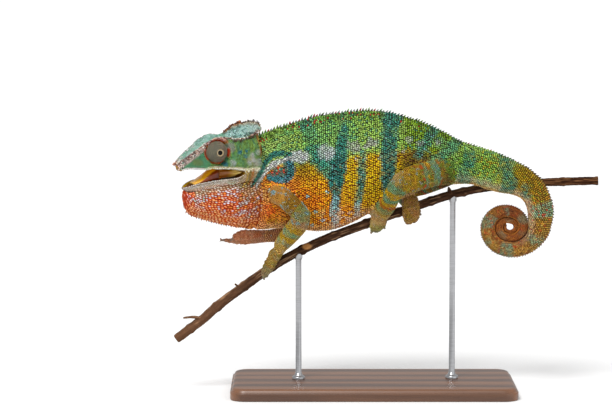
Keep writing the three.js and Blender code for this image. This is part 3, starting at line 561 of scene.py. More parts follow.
def head_places(p):
    """Distances from the head's features, for points of the straight head."""
    x, side, z = p[:, 0], np.abs(p[:, 1]), p[:, 2]
    crown, crest, crest_z, _, lip, lip_z = skull_at(x).T
    jaw_lip, jaw_z, jaw_low = jaw_at(x).T
    return {
        "x": x, "side": side, "z": z, "crown": crown, "lip_z": lip_z - lip_sag(x), "lip": lip,
        "nostril": np.hypot(x + 87.2, np.hypot(side - 4.0, z - 156.6)),
        "ridge": np.hypot(side - crest, z - crest_z + 0.3), "ridge_z": crest_z - 0.3,
        "crest": crest, "orbit": np.hypot(x - EYE["x"], z - EYE["z"]), "jaw_z": jaw_z,
        "jaw_lip": jaw_lip, "jaw_low": jaw_low, "keel": gular_at(x)[:, 0],
        "corner": np.hypot(x - MOUTH_CORNER[0], z - MOUTH_CORNER[1]),
        "turn": np.degrees(np.arctan2(z - MOUTH_CORNER[1], x - MOUTH_CORNER[0])) % 360,
    }


print("feature tables:", len(SKULL), "head rows,", len(JAW), "jaw rows,", len(GULAR), "throat rows")


# %% Push the skin into ridges, grooves and folds
TURRET_GIRTH = 0.905  # the lid's girth as a share of the solid's


def head_relief(p):
    at = head_places(p)
    x, side, z, lip = at["x"], at["side"], at["z"], at["z"] - at["lip_z"]
    front, outer_lip = ramp(-92, -88, x), side > at["lip"] * 0.8
    band = stripe(at["ridge_z"] - z, -0.5, 4.6, 0.9) * ramp(-68, -74, x) * (side > at["crest"] * 0.75)
    cheek = (side > 5) * (lip > 1) * ramp(0.6, -0.4, z - at["ridge_z"])
    skull = sum([  # the ridge, the snout's side, the casque's top, round the eye, nostril, lip
        0.62 * near(at["ridge"], 1.0) * front, 0.4 * band * front,
        0.55 * near(side, 0.9) * ramp(-60, -55, x) * ramp(-1.6, -0.4, z - at["crown"]),
        -0.7 * cheek * near(at["orbit"] - 7.6, 0.7), 0.5 * cheek * near(at["orbit"] - 8.9, 0.8),
        -1.1 * near(at["nostril"], 0.75),
        0.45 * near(np.hypot(x + 86.6, np.hypot(side - 4.2, z - 158.3)), 0.8),
        0.3 * near(lip - 0.9, 0.7) * outer_lip, -0.22 * near(lip - 2.2, 0.5) * outer_lip,
        -1.2 * near(np.hypot(x + 90.6, z - 152.6), 0.9)])
    down, low = z - at["jaw_z"], z - at["jaw_low"]
    jaw = (0.25 * near(down + 0.8, 0.6) - 0.2 * near(down + 2.0, 0.5)) * (side > at["jaw_lip"] - 1.2)
    fan = ramp(3, 8, at["corner"]) * ramp(-66, -52, x) * (z < 147)
    both = 0.34 * fan * np.sin(np.radians(at["turn"] * 24) + at["corner"] * 0.12)
    both -= 0.5 * near(low, 0.55) * ramp(-50, -60, x) + 0.6 * near(low, 0.7) * ramp(-76, -80, x)
    pouch = 0.16 * np.sin((z + 0.35 * x) * math.tau / 4.6) * (1 - fan)
    return HEAD * skull + JAWS * jaw + (JAWS | THROAT) * both + THROAT * pouch


def neck_relief(p):
    x, z = p[:, 0], p[:, 2]
    rear = part_of("head", "neck", "throat_pouch", "lower_jaw") * (np.abs(p[:, 1]) > 4)
    lift = -0.6 * near(x + 34.2, 0.8) * rear * ramp(159, 163, z) * (z < 175.5)
    for fold_x, lean, deep in ((-30.2, 0.25, 0.4), (-26.4, 0.32, 0.32), (-22.6, 0.4, 0.24)):
        lift -= deep * near(x - fold_x - lean * (z - 150), 0.7) * part_of("neck", "trunk") * near(z - 142, 20)
    return lift


SOCKET_RADIUS, SOCKET_FLOOR = 8.6, 8.4  # from the eye's axis, and from the head's middle
ring = np.hypot(laid[:, 0] - EYE["x"], laid[:, 2] - EYE["z"])
socket = HEAD & (ring < SOCKET_RADIUS) & (np.abs(laid[:, 1]) > SOCKET_FLOOR)
floor_y = SOCKET_FLOOR + 1.3 * ramp(7.0, SOCKET_RADIUS, ring)
laid[socket, 1] = (np.sign(laid[:, 1]) * np.minimum(np.abs(laid[:, 1]), floor_y))[socket]
laid = soften(laid, 3, HEAD * near(ring - 8.4, 1.6))
laid += normals_of(laid, tris) * (head_relief(laid) + neck_relief(laid))[:, None]
laid[:, 2] -= HEAD * ramp(6.5, 1.0, laid[:, 2] - skull_at(laid[:, 0])[:, 5]) * lip_sag(laid[:, 0])
jaw_top = JAWS * ramp(4.0, 1.0, jaw_at(laid[:, 0])[:, 1] - laid[:, 2])
laid[:, 2] -= 0.7 * jaw_top * ramp(-46, -54, laid[:, 0])
keel = gular_at(laid[:, 0])[:, 0] + SCALE_DEPTH
below = THROAT & (laid[:, 2] < keel) & (laid[:, 0] > -85)
laid[below, 2] = keel[below]
print("head relief, mm:", head_relief(laid).min().round(2), "to", head_relief(laid).max().round(2))

# %% [markdown]
# ## Legs and gripping feet
# A leg has its own coordinates: how far along from the body, in millimetres. A chameleon's toes
# are bound in two bundles, three toes against two, with a shallow groove between the toes of a
# bundle, so a groove is drawn along each bundle wherever two toes meet.

# %% Paths of the legs and of the toe bundles
LIMBS = {  # x, y, z from inside the body to the wrist or ankle
    "arm_left": [[-27, -7, 137.5], [-18, -13, 133.5], [-9, -18, 127.0], [-2.8, -20, 120.4],
                 [-5.2, -17, 114.0], [-10.9, -11, 106.2], [-18.1, -5.5, 97.2]],
    "arm_right": [[-24, 7, 131], [-16, 13, 124], [-8, 18, 115], [-7, 19, 108], [-14, 18, 103.6],
                  [-22, 17, 102.8], [-28, 16, 102.6]],
    "leg_left": [[97, -7, 149.5], [90, -10, 148.4], [80, -15, 146.8], [70, -19.5, 144.6],
                 [62.4, -22, 141.4], [57.4, -19.5, 134.8], [54.8, -13.5, 128.0], [51.4, -7, 121.8]],
    "leg_right": [[97, 7, 147.0], [90, 11, 143.6], [81, 16.5, 139.6], [73, 20.5, 136.4],
                  [65.5, 23, 134.4], [65, 19, 130.6], [66.8, 13, 128.2], [69.4, 6.5, 126.4]],
}
LIMB_NODES = {"arm_left": ["upper_arm_left", "forearm_left"],
              "arm_right": ["upper_arm_right", "forearm_right"],
              "leg_left": ["thigh_left", "shin_left"], "leg_right": ["thigh_right", "shin_right"]}
TOES = {  # node, number of toes, then x, y, z and half width of the bundle
    "hand_left_a": ["hand_left", 2, [-18.8, -4.5, 95.6, 4.6], [-22.0, -6.6, 90, 4.7],
                    [-25.2, -7.0, 84.6, 4.4], [-27.2, -5.4, 79.6, 3.4], [-27.0, -2.4, 77.2, 2.1]],
    "hand_left_b": ["hand_left", 3, [-19.5, 0, 94, 4.6], [-21.4, 4.6, 90, 4.7],
                    [-23.4, 6.4, 86, 4.4], [-24.8, 5.4, 82.8, 3.4], [-25.2, 3.4, 80.8, 2.1]],
    "foot_left_a": ["foot_left", 3, [50.0, -4.5, 121.2, 5.4], [48.6, -7.0, 117.2, 6.2],
                    [47.6, -7.2, 112.6, 6.3], [47.4, -4.6, 109.4, 5.5], [48.0, -1.6, 108.4, 3.4]],
    "foot_left_b": ["foot_left", 2, [49.4, 0, 121.6, 5.4], [49.4, 5.2, 119.3, 6.2],
                    [49.6, 7.0, 115.4, 6.3], [49.8, 5.4, 112.4, 5.5], [50.0, 3.0, 111.0, 3.4]],
    "foot_right_a": ["foot_right", 2, [69.8, 0, 128.4, 5.2], [69.6, -5.4, 126.6, 6.2],
                     [69.8, -7.4, 121, 6.8], [70.2, -5.4, 115.8, 6.2], [70.8, -2.0, 114.0, 3.8]],
    "foot_right_b": ["foot_right", 3, [70, 4, 127, 5.2], [70.6, 7.0, 123.4, 6.2],
                     [71, 7.0, 120, 6.8], [71.4, 5.4, 117.8, 6.2], [71.6, 3.2, 116.8, 3.8]],
    "hand_right_a": ["hand_right", 2, [-32, 14, 103.4, 3.4], [-39, 12.6, 104.4, 3.6],
                     [-45.5, 11.8, 103.0, 3.2], [-49.4, 11.6, 101.4, 2.0]],
    "hand_right_b": ["hand_right", 2, [-33, 17, 100.6, 3.0], [-41, 17.6, 98.8, 3.0],
                     [-49, 17.4, 98.8, 2.6], [-55.5, 16.8, 99.8, 1.6]],
}
BRANCH = [
    [-87, 0, 35.0], [-72, 0, 46.2], [-56, 0, 59.8], [-40, 0, 71.6], [-26, 0, 81.6],
    [-12, 0, 90.2], [3, 0, 97.9], [16, 0, 103.6], [32, 0, 109.7], [48, 0, 115.7],
    [64, 0, 121.3], [80, 0.5, 126.8], [96, 2.5, 131.7], [112, 7, 134.9], [130, 12, 136.9],
    [147, 14, 138.4], [170, 14, 139.5], [196, 12, 140.5],
]


def fine_path(rows, count):
    """A smooth path through rows of numbers, resampled evenly, and the distance along it."""
    rows = np.array(rows, float)
    t = running(norm(np.diff(rows[:, :3], axis=0), axis=1))
    smooth = smooth_rows(np.column_stack([t, rows]))
    t_even = np.linspace(0, t[-1], count)
    return smooth(t_even), t_even


def along_path(p, rows, count=160):
    """For each point: distance along a path, distance from it, and the offset vector."""
    path, t = fine_path(rows, count)
    gap = norm(p[:, None, :] - path[None, :, :3], axis=2)
    k = gap.argmin(1)
    return t[k], gap.min(1), p - path[k, :3], path[k]


def branch_direction(x):
    row = max(1, next(i for i, q in enumerate(BRANCH) if q[0] > x))
    step = np.array(BRANCH[row]) - np.array(BRANCH[row - 1])
    return step / norm(step)


FEET = ["hand_left", "hand_right", "foot_left", "foot_right"]
limb_names = list(LIMBS)
limb_of = np.full(len(laid), -1)
for k, name in enumerate(limb_names):
    limb_of[part_of(*LIMB_NODES[name])] = k
print("points on each leg:", [int((limb_of == k).sum()) for k in range(4)])


# %% Grooves between the toes, and creases behind elbow and knee
def toe_relief(p):
    lift = np.zeros(len(p))
    for node, toes, *rows in TOES.values():
        here = np.flatnonzero(part_of(node))
        t, gap, offset, at = along_path(p[here], rows, 60)
        open_hand = node == "hand_right"
        axis = np.array([0, 1.0, 0]) if open_hand else branch_direction(rows[0][0])
        across = offset @ axis
        groove = np.zeros(len(here))
        for seam in ([0] if toes == 2 else [-0.55, 0.55]):
            groove += near(across - seam * at[:, 3], 0.55)
        far = ramp(2, 6, t) * (gap < at[:, 3] * 1.35)
        lift[here] += (0.22 * np.sin(t * math.tau / 2.6) * (1 - groove) - 0.6 * groove) * far
    return lift


def limb_relief(p):
    lift = np.zeros(len(p))
    for k, name in enumerate(limb_names):
        here = np.flatnonzero(limb_of == k)
        t = along_path(p[here], LIMBS[name])[0]
        joint = 33.0 if name.startswith("arm") else 40.0
        lift[here] += 0.14 * np.sin(t * math.tau / 2.9) * near(t - joint, 11)
    return lift


REACH = {"leg": (-3, 15), "arm": (-6, 7)}  # mm along the limb over which it comes out of the body
for k, name in enumerate(limb_names):
    here = np.flatnonzero(limb_of == k)
    t = along_path(laid[here], LIMBS[name])[0]
    half = edges_at(body_coords(laid[here])[0])[:, 4] * 0.98
    excess = np.maximum(np.abs(laid[here, 1]) - half, 0)
    laid[here, 1] -= np.sign(laid[here, 1]) * excess * ramp(*REACH[name[:3]][::-1], t)
melt, wrists = np.zeros(len(laid)), np.zeros(len(laid))
for name, rows in LIMBS.items():
    to_root = norm((laid - rows[0]) * [1, 0.45, 1], axis=1)
    to_wrist = norm(laid - rows[-1], axis=1)
    room = 9.0 if name.startswith("leg") else 6.0
    melt = np.maximum(melt, near(to_root, room) * (np.abs(laid[:, 1]) > 4))
    melt = np.maximum(melt, near(to_wrist, 6.0) * 0.9)
laid = soften(laid, 12, melt, (0.5,))
for rows in LIMBS.values():
    wrists = np.maximum(wrists, near(norm(laid - rows[-1], axis=1), 5.5))
laid = soften(laid, 36, wrists, (0.5,))
laid += normals_of(laid, tris) * (0.8 * wrists)[:, None]
posed = to_pose(laid)
relief = toe_relief(posed) + limb_relief(posed)
laid = soften(laid + normals_of(laid, tris) * relief[:, None], 2, 0.5)
print("toe relief, mm:", relief.min().round(2), "to", relief.max().round(2))

# %% [markdown]
# ## Colours of the animal
# The markings are in the scales: each scale has one colour, and the skin between the scales is
# darker and redder, partly in its own colour and partly as painted shade between the scales. So
# every paint here is a pair, the scale's colour and the gap's colour, and the same brush strokes are
# laid over the skin's points and over the scales' places. Strokes are drawn in the side view, in
# millimetres, and mirrored, because the right side matches the left.

# %% Paints: scale colour and gap colour, as sRGB
def linear(code):
    """A linear colour from an sRGB hex value."""
    part = np.array([int(code[k:k + 2], 16) for k in (0, 2, 4)]) / 255
    return np.where(part <= 0.04045, part / 12.92, ((part + 0.055) / 1.055) ** 2.4)


# each pair is the scale's colour, then the gap's colour, which is partly the skin's own darker colour and
# partly painted shade between the scales
PAINTS = {
    "leaf": "94bc52 2a340c", "moss": "6c9c2a 28300a", "meadow": "74981c 2c3408",
    "green": "70b464 203416", "jade": "60ae86 30402c", "teal": "348874 182018",
    "deep_teal": "246c64 121a14", "sky": "88bcc0 4c5450", "blue": "3c86a4 1c4454",
    "white": "bcc2be 767c76", "chalk": "f4f0ea b4a298", "pink": "e6c4b0 9c6a56",
    "gold": "cca80a 642a06", "amber": "d8940c 842c06", "orange": "e27e12 962804",
    "rust": "c87c2c 742c0c", "red": "d63e18 9c1c08", "maroon": "54282a 341414",
    "olive": "8a7810 483404", "tan": "c0a056 7a5422", "sand": "d0bca2 8e7450",
    "grey": "a2a69a 5c5e50", "cream": "f4eed4 c0a870", "yellow": "f6d020 b88410",
    "lavender": "ccc8d2 bc4822", "mint": "a0d2b2 a84c24", "throat": "f6a266 d04c14",
    "belly": "e2b27c a45a2c", "coil": "c2903c 6e400e", "coil_pink": "8e4822 581c08",
    "mouth": "e4a812 9c5a0c", "gape": "7a3210 401405", "nape": "9abc60 343c0c",
    "dish": "c8ece2 3c7466", "snout": "f0b08a a86c4c", "ridge": "e2d0c6 70483e",
    "lip_grey": "c2bcb8 8c8070",
}
PAINT = {name: np.concatenate([linear(code) for code in pair.split()])
         for name, pair in PAINTS.items()}


def brush(out, name, amount):
    """Lays a paint over the colours so far, as thick as the amount, from 0 to 1."""
    out += (PAINT[name] - out) * np.clip(amount * np.ones(len(out)), 0, 1)[:, None]


def lay(out, **strokes):
    """Lays paints over the colours so far, one after another."""
    for name, amount in strokes.items():
        brush(out, name, amount)


def grain(p, size, seed):
    """Smooth random values from -1 to 1, in patches of a size in millimetres."""
    q = p / size + seed * 17.3
    cell = np.floor(q).astype(np.int64)
    f, total = ramp(0, 1, q - cell), np.zeros(len(p))
    for corner in np.ndindex(2, 2, 2):
        key = np.bitwise_xor.reduce((cell + corner) * [73856093, 19349663, 83492791], axis=1) ^ (seed * 2654435)
        key = (((key * 1103515245 + 12345) & 0x7FFFFFFF) >> 11) * 48271 & 0x7FFFFFFF
        total += np.where(corner, f, 1 - f).prod(1) * (key / 0x3FFFFFFF - 1)
    return total


def oval(x, z, at, size, soft=0.3):
    """1 inside an ellipse of the side view, with a soft edge."""
    return 1 - ramp(1 - soft, 1 + soft, np.hypot((x - at[0]) / size[0], (z - at[1]) / size[1]))


def ribbon(x, z, rows, soft=0.8):
    """A stroke along x, z points with its half width at each."""
    path = fine_path([[a, 0.0, b, w] for a, b, w in rows], 80)[0]
    gap = np.hypot(x[:, None] - path[:, 0], z[:, None] - path[:, 2])
    k = gap.argmin(1)
    edge = gap[np.arange(len(x)), k] - path[k, 3]
    return 1 - ramp(-soft, soft, edge)


def side_view(p):
    """x, and the height as it looks from a little above."""
    return p[:, 0], p[:, 2] - 0.1 * np.abs(p[:, 1])


print("paints:", len(PAINT))


# %% Shoulder and neck: a white and a teal fold, and a blue cuff round a red patch
TEAL_FOLD = [[-9.8, 159.2, 1.1], [-15.6, 159.6, 1.8], [-22.9, 159.3, 2.0], [-28.2, 156.6, 1.8],
             [-32, 153.3, 1.6], [-34.8, 149.2, 1.5], [-37.2, 145.5, 1.4], [-39.6, 141.8, 1.1],
             [-41.6, 138.8, 0.7]]
WHITE_FOLD = [[-12.6, 155.6, 0.9], [-15.6, 155.0, 1.5], [-22.3, 153.4, 2.0], [-28.1, 151.2, 1.9],
              [-32, 148.2, 1.5], [-34.8, 145, 1.2], [-36.8, 141.7, 1.0], [-38.4, 138, 0.6]]
FAN = [("olive", [[-42.8, 149, 0.7], [-43.6, 143, 0.9], [-45.6, 137.5, 0.6]]),
       ("rust", [[-40.6, 150, 0.6], [-41.4, 145.6, 0.8], [-43.6, 140, 0.6]]),
       ("gold", [[-44.6, 147.6, 0.5], [-45.8, 142.5, 0.7], [-48.4, 138, 0.5]])]


def paint_folds(p, out):
    x, v = side_view(p)
    wave, fine = grain(p, 4.0, 1), grain(p, 1.4, 2)
    here = np.flatnonzero((x > -50) & (x < 8) & (v > 134) & (v < 164))
    x, v, wave, fine, part = x[here], v[here], wave[here], fine[here], out[here]
    for name, rows in FAN:
        brush(part, name, ribbon(x, v + 0.3 * fine, rows, 0.5) * 0.8)
    inner = ribbon(x, v, [[-29, 144.6, 2.4], [-22, 145, 3.8], [-15, 146.6, 3.6], [-12.4, 151, 2.8],
                          [-14, 154, 2]])
    lay(part, deep_teal=inner * 0.85)
    bead = grain(p[here], 1.0, 42)
    lay(part, maroon=oval(x, v, (-20.5, 148), (7.0, 3.6)) * 0.45,
        deep_teal=oval(x, v, (-20.5, 148), (7.0, 3.6)) * (bead < 0) * 0.6)
    for z in (150.6, 148.7, 146.8):
        thread = ribbon(x, v + 0.4 * wave, [[-26.5, z - 1.3, 0.3], [-14.8, z, 0.45]], 0.4)
        lay(part, red=thread * (bead > -0.1) * 0.8)
    lay(part, jade=oval(x, v, (-20, 147.8), (4.5, 2.2)) * (fine > 0.35) * 0.9)
    cuff = ribbon(x, v, [[-12.8, 157, 1.4], [-10.4, 153, 2.1], [-9.6, 148.4, 2.3], [-10.6, 144.6, 2.2],
                         [-13.6, 142.2, 2.2], [-22.3, 142.6, 2.1], [-29.5, 144.1, 1.2]], 0.6)
    lay(part, blue=cuff * 0.8, deep_teal=cuff * (0.3 + 0.5 * (fine < 0)),
        white=oval(x, v, (-5.2, 157.4), (7.0, 3.6), 0.3) * np.clip(0.95 + 0.3 * wave, 0.5, 1))
    lay(part, white=oval(x + 0.6 * wave, v, (-37.6, 154.2), (3.0, 2.2), 0.4) * 0.5)
    pale = ribbon(x, v, WHITE_FOLD, 0.6)
    lay(part, white=pale * 0.95, chalk=pale * (fine > 0.1) * 0.3)
    dark = ribbon(x, v, TEAL_FOLD, 0.6)
    lay(part, deep_teal=dark * 0.95, teal=dark * (fine > 0.1) * 0.7)
    out[here] = part


print("folds drawn with", len(TEAL_FOLD) + len(WHITE_FOLD), "places and a fan of", len(FAN))


# %% The trunk's bars, and its blotches by middle and half sizes
TRUNK_BARS = [  # paint; x, z and half width along the bar; strength
    ("teal", [[0, 184, 4.4], [-1, 179, 4.2], [3, 172, 3.6]], 0.85),
    ("green", [[3, 172, 5.5], [8, 166, 6]], 0.6),
    ("teal", [[3, 162, 3.5], [10, 160, 5.5], [16, 156, 6.5]], 0.9),
    ("deep_teal", [[24.5, 187, 2.0], [24.5, 176, 2.1]], 0.6),
    ("teal", [[25, 176, 2.4], [23.5, 165, 4.0], [22, 156, 5.0], [20, 148, 5.4], [19.5, 140, 5.0]], 0.95),
    ("teal", [[8, 156, 5], [14, 151, 6.5], [19, 146, 6]], 0.9),
    ("deep_teal", [[23, 163, 3.0], [21.5, 152, 4.6], [20, 142, 5.0], [20, 132, 3.4],
                   [19.5, 124, 3.0]], 0.95),
    ("teal", [[37.6, 160, 2.2], [36.8, 150, 2.6], [36.0, 138, 2.7], [34.8, 128, 2.2]], 0.9),
    ("deep_teal", [[36.4, 146, 2.0], [35.6, 132, 2.0]], 0.5),
    ("deep_teal", [[57, 189, 7.5], [57, 183, 6.8]], 0.85),
    ("teal", [[56, 184, 5.4], [55.6, 172, 5.4], [55, 160, 5.4], [54, 146, 4.8], [53.0, 136, 2.6]], 0.85),
    ("deep_teal", [[55.4, 172, 3.6], [55, 158, 4.8], [54, 140, 3.4]], 0.75),
    ("teal", [[87, 178, 3], [80, 169, 3.2], [74, 158, 2.6]], 0.85),
    ("teal", [[100, 168, 3.2], [94, 162, 3.6], [86, 155, 3.0]], 0.7),
    ("green", [[97, 160, 6], [104, 152, 6]], 0.45),
    ("jade", [[88, 167, 4], [96, 163, 4]], 0.35),
]
BLOTCHES = [((-4.6, 157.4), (6.8, 3.9)), ((13.5, 160.4), (5.4, 5.6)), ((32, 163.8), (5.0, 3.7)),
            ((44, 166.6), (4.2, 2.8)), ((40, 164.5), (2, 1.6)), ((68, 168.6), (2.9, 2.5)),
            ((75, 166.4), (2.6, 1.9)), ((87, 167), (2.4, 1.5)), ((33, 156.4), (1.3, 1.2)),
            ((39.5, 156.4), (1, 1)), ((64.5, 161), (0.9, 0.9)), ((49, 157), (1, 1)),
            ((28, 167), (1.2, 1.2)), ((34, 168.5), (1.0, 1.6)), ((42, 170), (0.9, 1.6))]
print("trunk marked with", len(TRUNK_BARS), "bars and", len(BLOTCHES), "blotches")


# %% Trunk and neck: green above, gold and orange below, teal bars, a row of pale blotches
def paint_trunk(p, out):
    x, v = side_view(p)
    wave, fine = grain(p, 7.0, 1), grain(p, 2.2, 2)
    top = edges_at(body_coords(p)[0])[:, 1] - p[:, 2]
    rough = 0.8 * wave + 1.1 * fine
    patchy = np.clip(0.86 + 0.5 * grain(p, 1.7, 6), 0.25, 1)
    lay(out, leaf=1, nape=1 - ramp(-16, -4, x), green=stripe(x, 0, 33, 5) * (0.7 + 0.3 * wave),
        meadow=ramp(62, 68, x) * ramp(150, 156, v),
        moss=ramp(8.5, 5.5, top) * (0.5 + 0.5 * fine) * (x < 62))
    seam = np.interp(x, [-36, -22, -8, 2, 12, 20, 32, 45, 60, 75, 88, 98, 115],
                     [148, 152, 152, 153, 146, 154, 158, 160, 162, 161, 153, 141, 136])
    low = ramp(3.2, -3.2, v - seam + 1.5 * rough + 2.6 * grain(p, 1.1, 40))
    lay(out, gold=low)
    warm = ramp(150, 112, v + 4 * wave + np.interp(x, [-20, 5, 30, 60], [-26, -12, 6, 22]))
    lay(out, orange=low * np.clip(warm, 0, 1) * 0.9, amber=low * stripe(v, 108, 122, 4) * 0.6,
        rust=low * ramp(0, -12, x) * 0.7,
        olive=ramp(60, 70, x + 3 * wave) * ramp(164, 158, v + 2 * fine) * 0.8,
        moss=ramp(62, 72, x) * ramp(162, 156, v) * (fine > 0) * 0.7)
    lay(out, olive=oval(x, v, (1, 148), (10, 6.5), 0.5) * (0.55 + 0.35 * wave))
    flecks = grain(p, 1.5, 7)
    lay(out, nape=(flecks > 0.35) * (1 - low) * 0.55, teal=(flecks < -0.5) * (1 - low) * 0.6,
        gold=(flecks > 0.3) * low * (x < 58) * 0.5,
        maroon=low * ramp(60, 68, x) * (0.42 + 0.3 * (fine > -0.1)),
        olive=(flecks < -0.45) * low * ramp(20, 40, x) * 0.5)
    barred = np.zeros(len(p))
    for name, rows, strength in TRUNK_BARS:
        amount = ribbon(x + 0.8 * rough, v, rows, 1.3) * strength * patchy
        brush(out, name, amount)
        barred = np.maximum(barred, amount * (name != "green"))
    bead_noise = grain(p, 1.0, 41)
    lay(out, sky=barred * (bead_noise > 0.5) * 0.45, maroon=barred * (bead_noise < -0.55) * 0.35)
    lay(out, sky=ribbon(x + rough, v, [[19.3, 130, 2.4], [19.3, 118, 2.8], [19.4, 110, 2.6]]) * 0.75)
    lay(out, sky=ribbon(x + rough, v, [[34.6, 126, 2.2], [33.6, 119, 1.8]]) * 0.7)
    for centre, size in BLOTCHES:
        spot = oval(x + 1.1 * fine, v + 1.1 * fine, centre, size, 0.3) * patchy
        brush(out, "white" if centre[0] < 25 else "grey", spot * (0.9 if centre[0] < 60 else 0.65))
    for centre in ((14, 134), (1, 131), (6, 121), (11, 115), (4, 112)):
        lay(out, sky=oval(x, v, centre, (1.4, 1.2)) * 0.8)
    lay(out, belly=ramp(7, 2, p[:, 2] - edges_at(body_coords(p)[0])[:, 3]) * 0.55 * (x < 80),
        throat=ramp(-26, -34, x + 2 * wave) * ramp(140, 132, v) * 0.7,
        orange=oval(x, v, (-28, 124), (9, 9)) * 0.5)
    upper_arm = ribbon(x, v, [[-37, 134, 3.2], [-30, 132.5, 4.6], [-20, 130, 4.4]], 1.4)
    lay(out, tan=upper_arm * 0.45, rust=upper_arm * (wave > 0) * 0.5, sky=upper_arm * (fine > 0.5) * 0.6,
        red=oval(x, v, (-26, 122), (8, 5)) * (fine > 0.0) * 0.5)
    lows = oval(x, v, (27, 117), (16, 8), 0.5) * ramp(127, 120, v)
    lay(out, pink=lows * (flecks > 0.15) * 0.5, orange=lows * (flecks < -0.2) * 0.5)
    paint_folds(p, out)
    lay(out, rust=near(x + 34.2, 1.1) * stripe(v, 160, 175, 2) * 0.9)
    spots = grain(p, 3.0, 5)
    lay(out, green=(spots > 0.45) * stripe(x, -33, 0, 2) * (v > 158) * 0.6)


print("trunk strokes ready")


# %% Tail: teal bands round a green, then golden, then orange coil
def paint_tail(p, out):
    height, along = body_coords(p)[1], split_tail(p)[0]
    wave, fine = grain(p, 5.0, 3), grain(p, 1.8, 4)
    lay(out, leaf=1, moss=stripe(height, 0.45, 0.8, 0.15) * (0.6 + 0.4 * wave) * (along < 45))
    flecks = grain(p, 1.5, 10)
    lay(out, gold=(flecks > 0.4) * stripe(along, 8, 70, 8) * 0.5,
        teal=(flecks < -0.5) * ramp(50, 30, along) * 0.5,
        olive=ramp(34, 44, along + 4 * wave))
    lay(out, gold=ramp(38, 50, along) * ramp(80, 66, along) * 0.35,
        yellow=(grain(p, 1.1, 43) > 0.45) * ramp(30, 45, along) * ramp(130, 80, along) * 0.35)
    lay(out, gold=stripe(along, 42, 66, 6) * (flecks > 0.1) * 0.4,
        amber=(flecks > 0.3) * ramp(45, 60, along) * 0.6)
    lay(out, gold=stripe(along, 28, 42, 4) * 0.3, maroon=stripe(along, 45, 64, 5) * 0.2,
        coil=ramp(52, 66, along + 5 * wave) * 0.5,
        moss=(flecks < -0.45) * stripe(along, 40, 95, 6) * 0.35)
    lay(out, coil=ramp(70, 98, along + 5 * wave),
        coil_pink=ramp(0.55, 0.15, height) * ramp(60, 100, along) * 0.8)
    lay(out, coil_pink=ramp(128, 155, along) * 0.85, rust=ramp(150, 185, along) * 0.3,
        sand=ramp(0.32, 0.12, height + 0.05 * wave) * ramp(110, 70, along) * 0.6,
        amber=ramp(0.12, 0.03, height) * stripe(along, 0, 60, 6) * 0.6)
    bands = [  # from, to along the tail; from, to in height; strength
        (4.5, 11.5, 0.4, 0.86, 0.85), (0, 9, 0.02, 0.42, 0.75), (14, 18, 0.02, 0.2, 0.5),
        (27, 37, 0.55, 1.1, 0.75), (31, 42, 0.05, 0.6, 0.85), (45, 51, 0.3, 0.55, 0.8),
        (49, 56, 0.1, 0.35, 0.8), (64, 73.5, 0.15, 1.1, 0.9), (86, 92, 0.1, 0.9, 0.75),
        (106, 115, 0, 1.1, 0.8), (121, 125, 0.5, 1.1, 0.6), (131, 140, 0, 1.1, 0.8),
        (149, 151.5, 0, 0.9, 0.6), (159, 166, 0, 0.9, 0.45), (184, 190, 0, 1.1, 0.3),
        (171, 174, 0, 1.1, 0.25), (200, 204, 0, 1.1, 0.25),
    ]
    lean = along + 6 * (height - 0.5) * (along < 45) + 1.2 * wave + 0.5 * fine
    for a, b, low, high, strength in bands:
        amount = stripe(lean, a, b, 1.4) * stripe(height + 0.08 * wave, low, high, 0.08) * strength
        amount = amount * np.clip(0.75 + 0.6 * grain(p, 1.6, 8), 0.15, 1) * (1.0 if a < 80 else 0.8)
        brush(out, "teal" if a < 60 else "jade", amount)
        if a > 60:
            lay(out, grey=amount * 0.35)
    lay(out, red=stripe(lean, 64, 76, 2) * (grain(p, 1.4, 9) > 0.5) * (height > 0.5) * 0.8,
        maroon=ramp(0.93, 1.0, height) * ramp(30, 45, along) * 0.7,
        rust=ramp(0.12, 0.0, height) * ramp(95, 120, along) * 0.8)
    lay(out, red=(grain(p, 1.3, 5) > 0.5) * stripe(along, 60, 170, 6) * 0.5,
        tan=(grain(p, 1.2, 35) > 0.35) * stripe(along, 70, 135, 8) * 0.6,
        maroon=(grain(p, 1.2, 36) > 0.45) * ramp(50, 70, along) * 0.35)
    lay(out, maroon=ramp(0.9, 0.98, height) * ramp(150, 165, along) * 0.7)


print("tail strokes ready")


# %% Slope of the scale rows on the throat
row_x = np.linspace(-90, -30, 240)
row_slope = np.tan(np.radians(np.interp(row_x, [-86, -80, -72, -64, -56, -48, -40, -34],
                                        [-48, -38, -20, -8, 4, 18, 30, 36])))
row_rise = running((row_slope[1:] + row_slope[:-1]) / 2 * np.diff(row_x))
print("the throat's rows fall by", round(-float(row_rise.min()), 1), "mm from the chin")


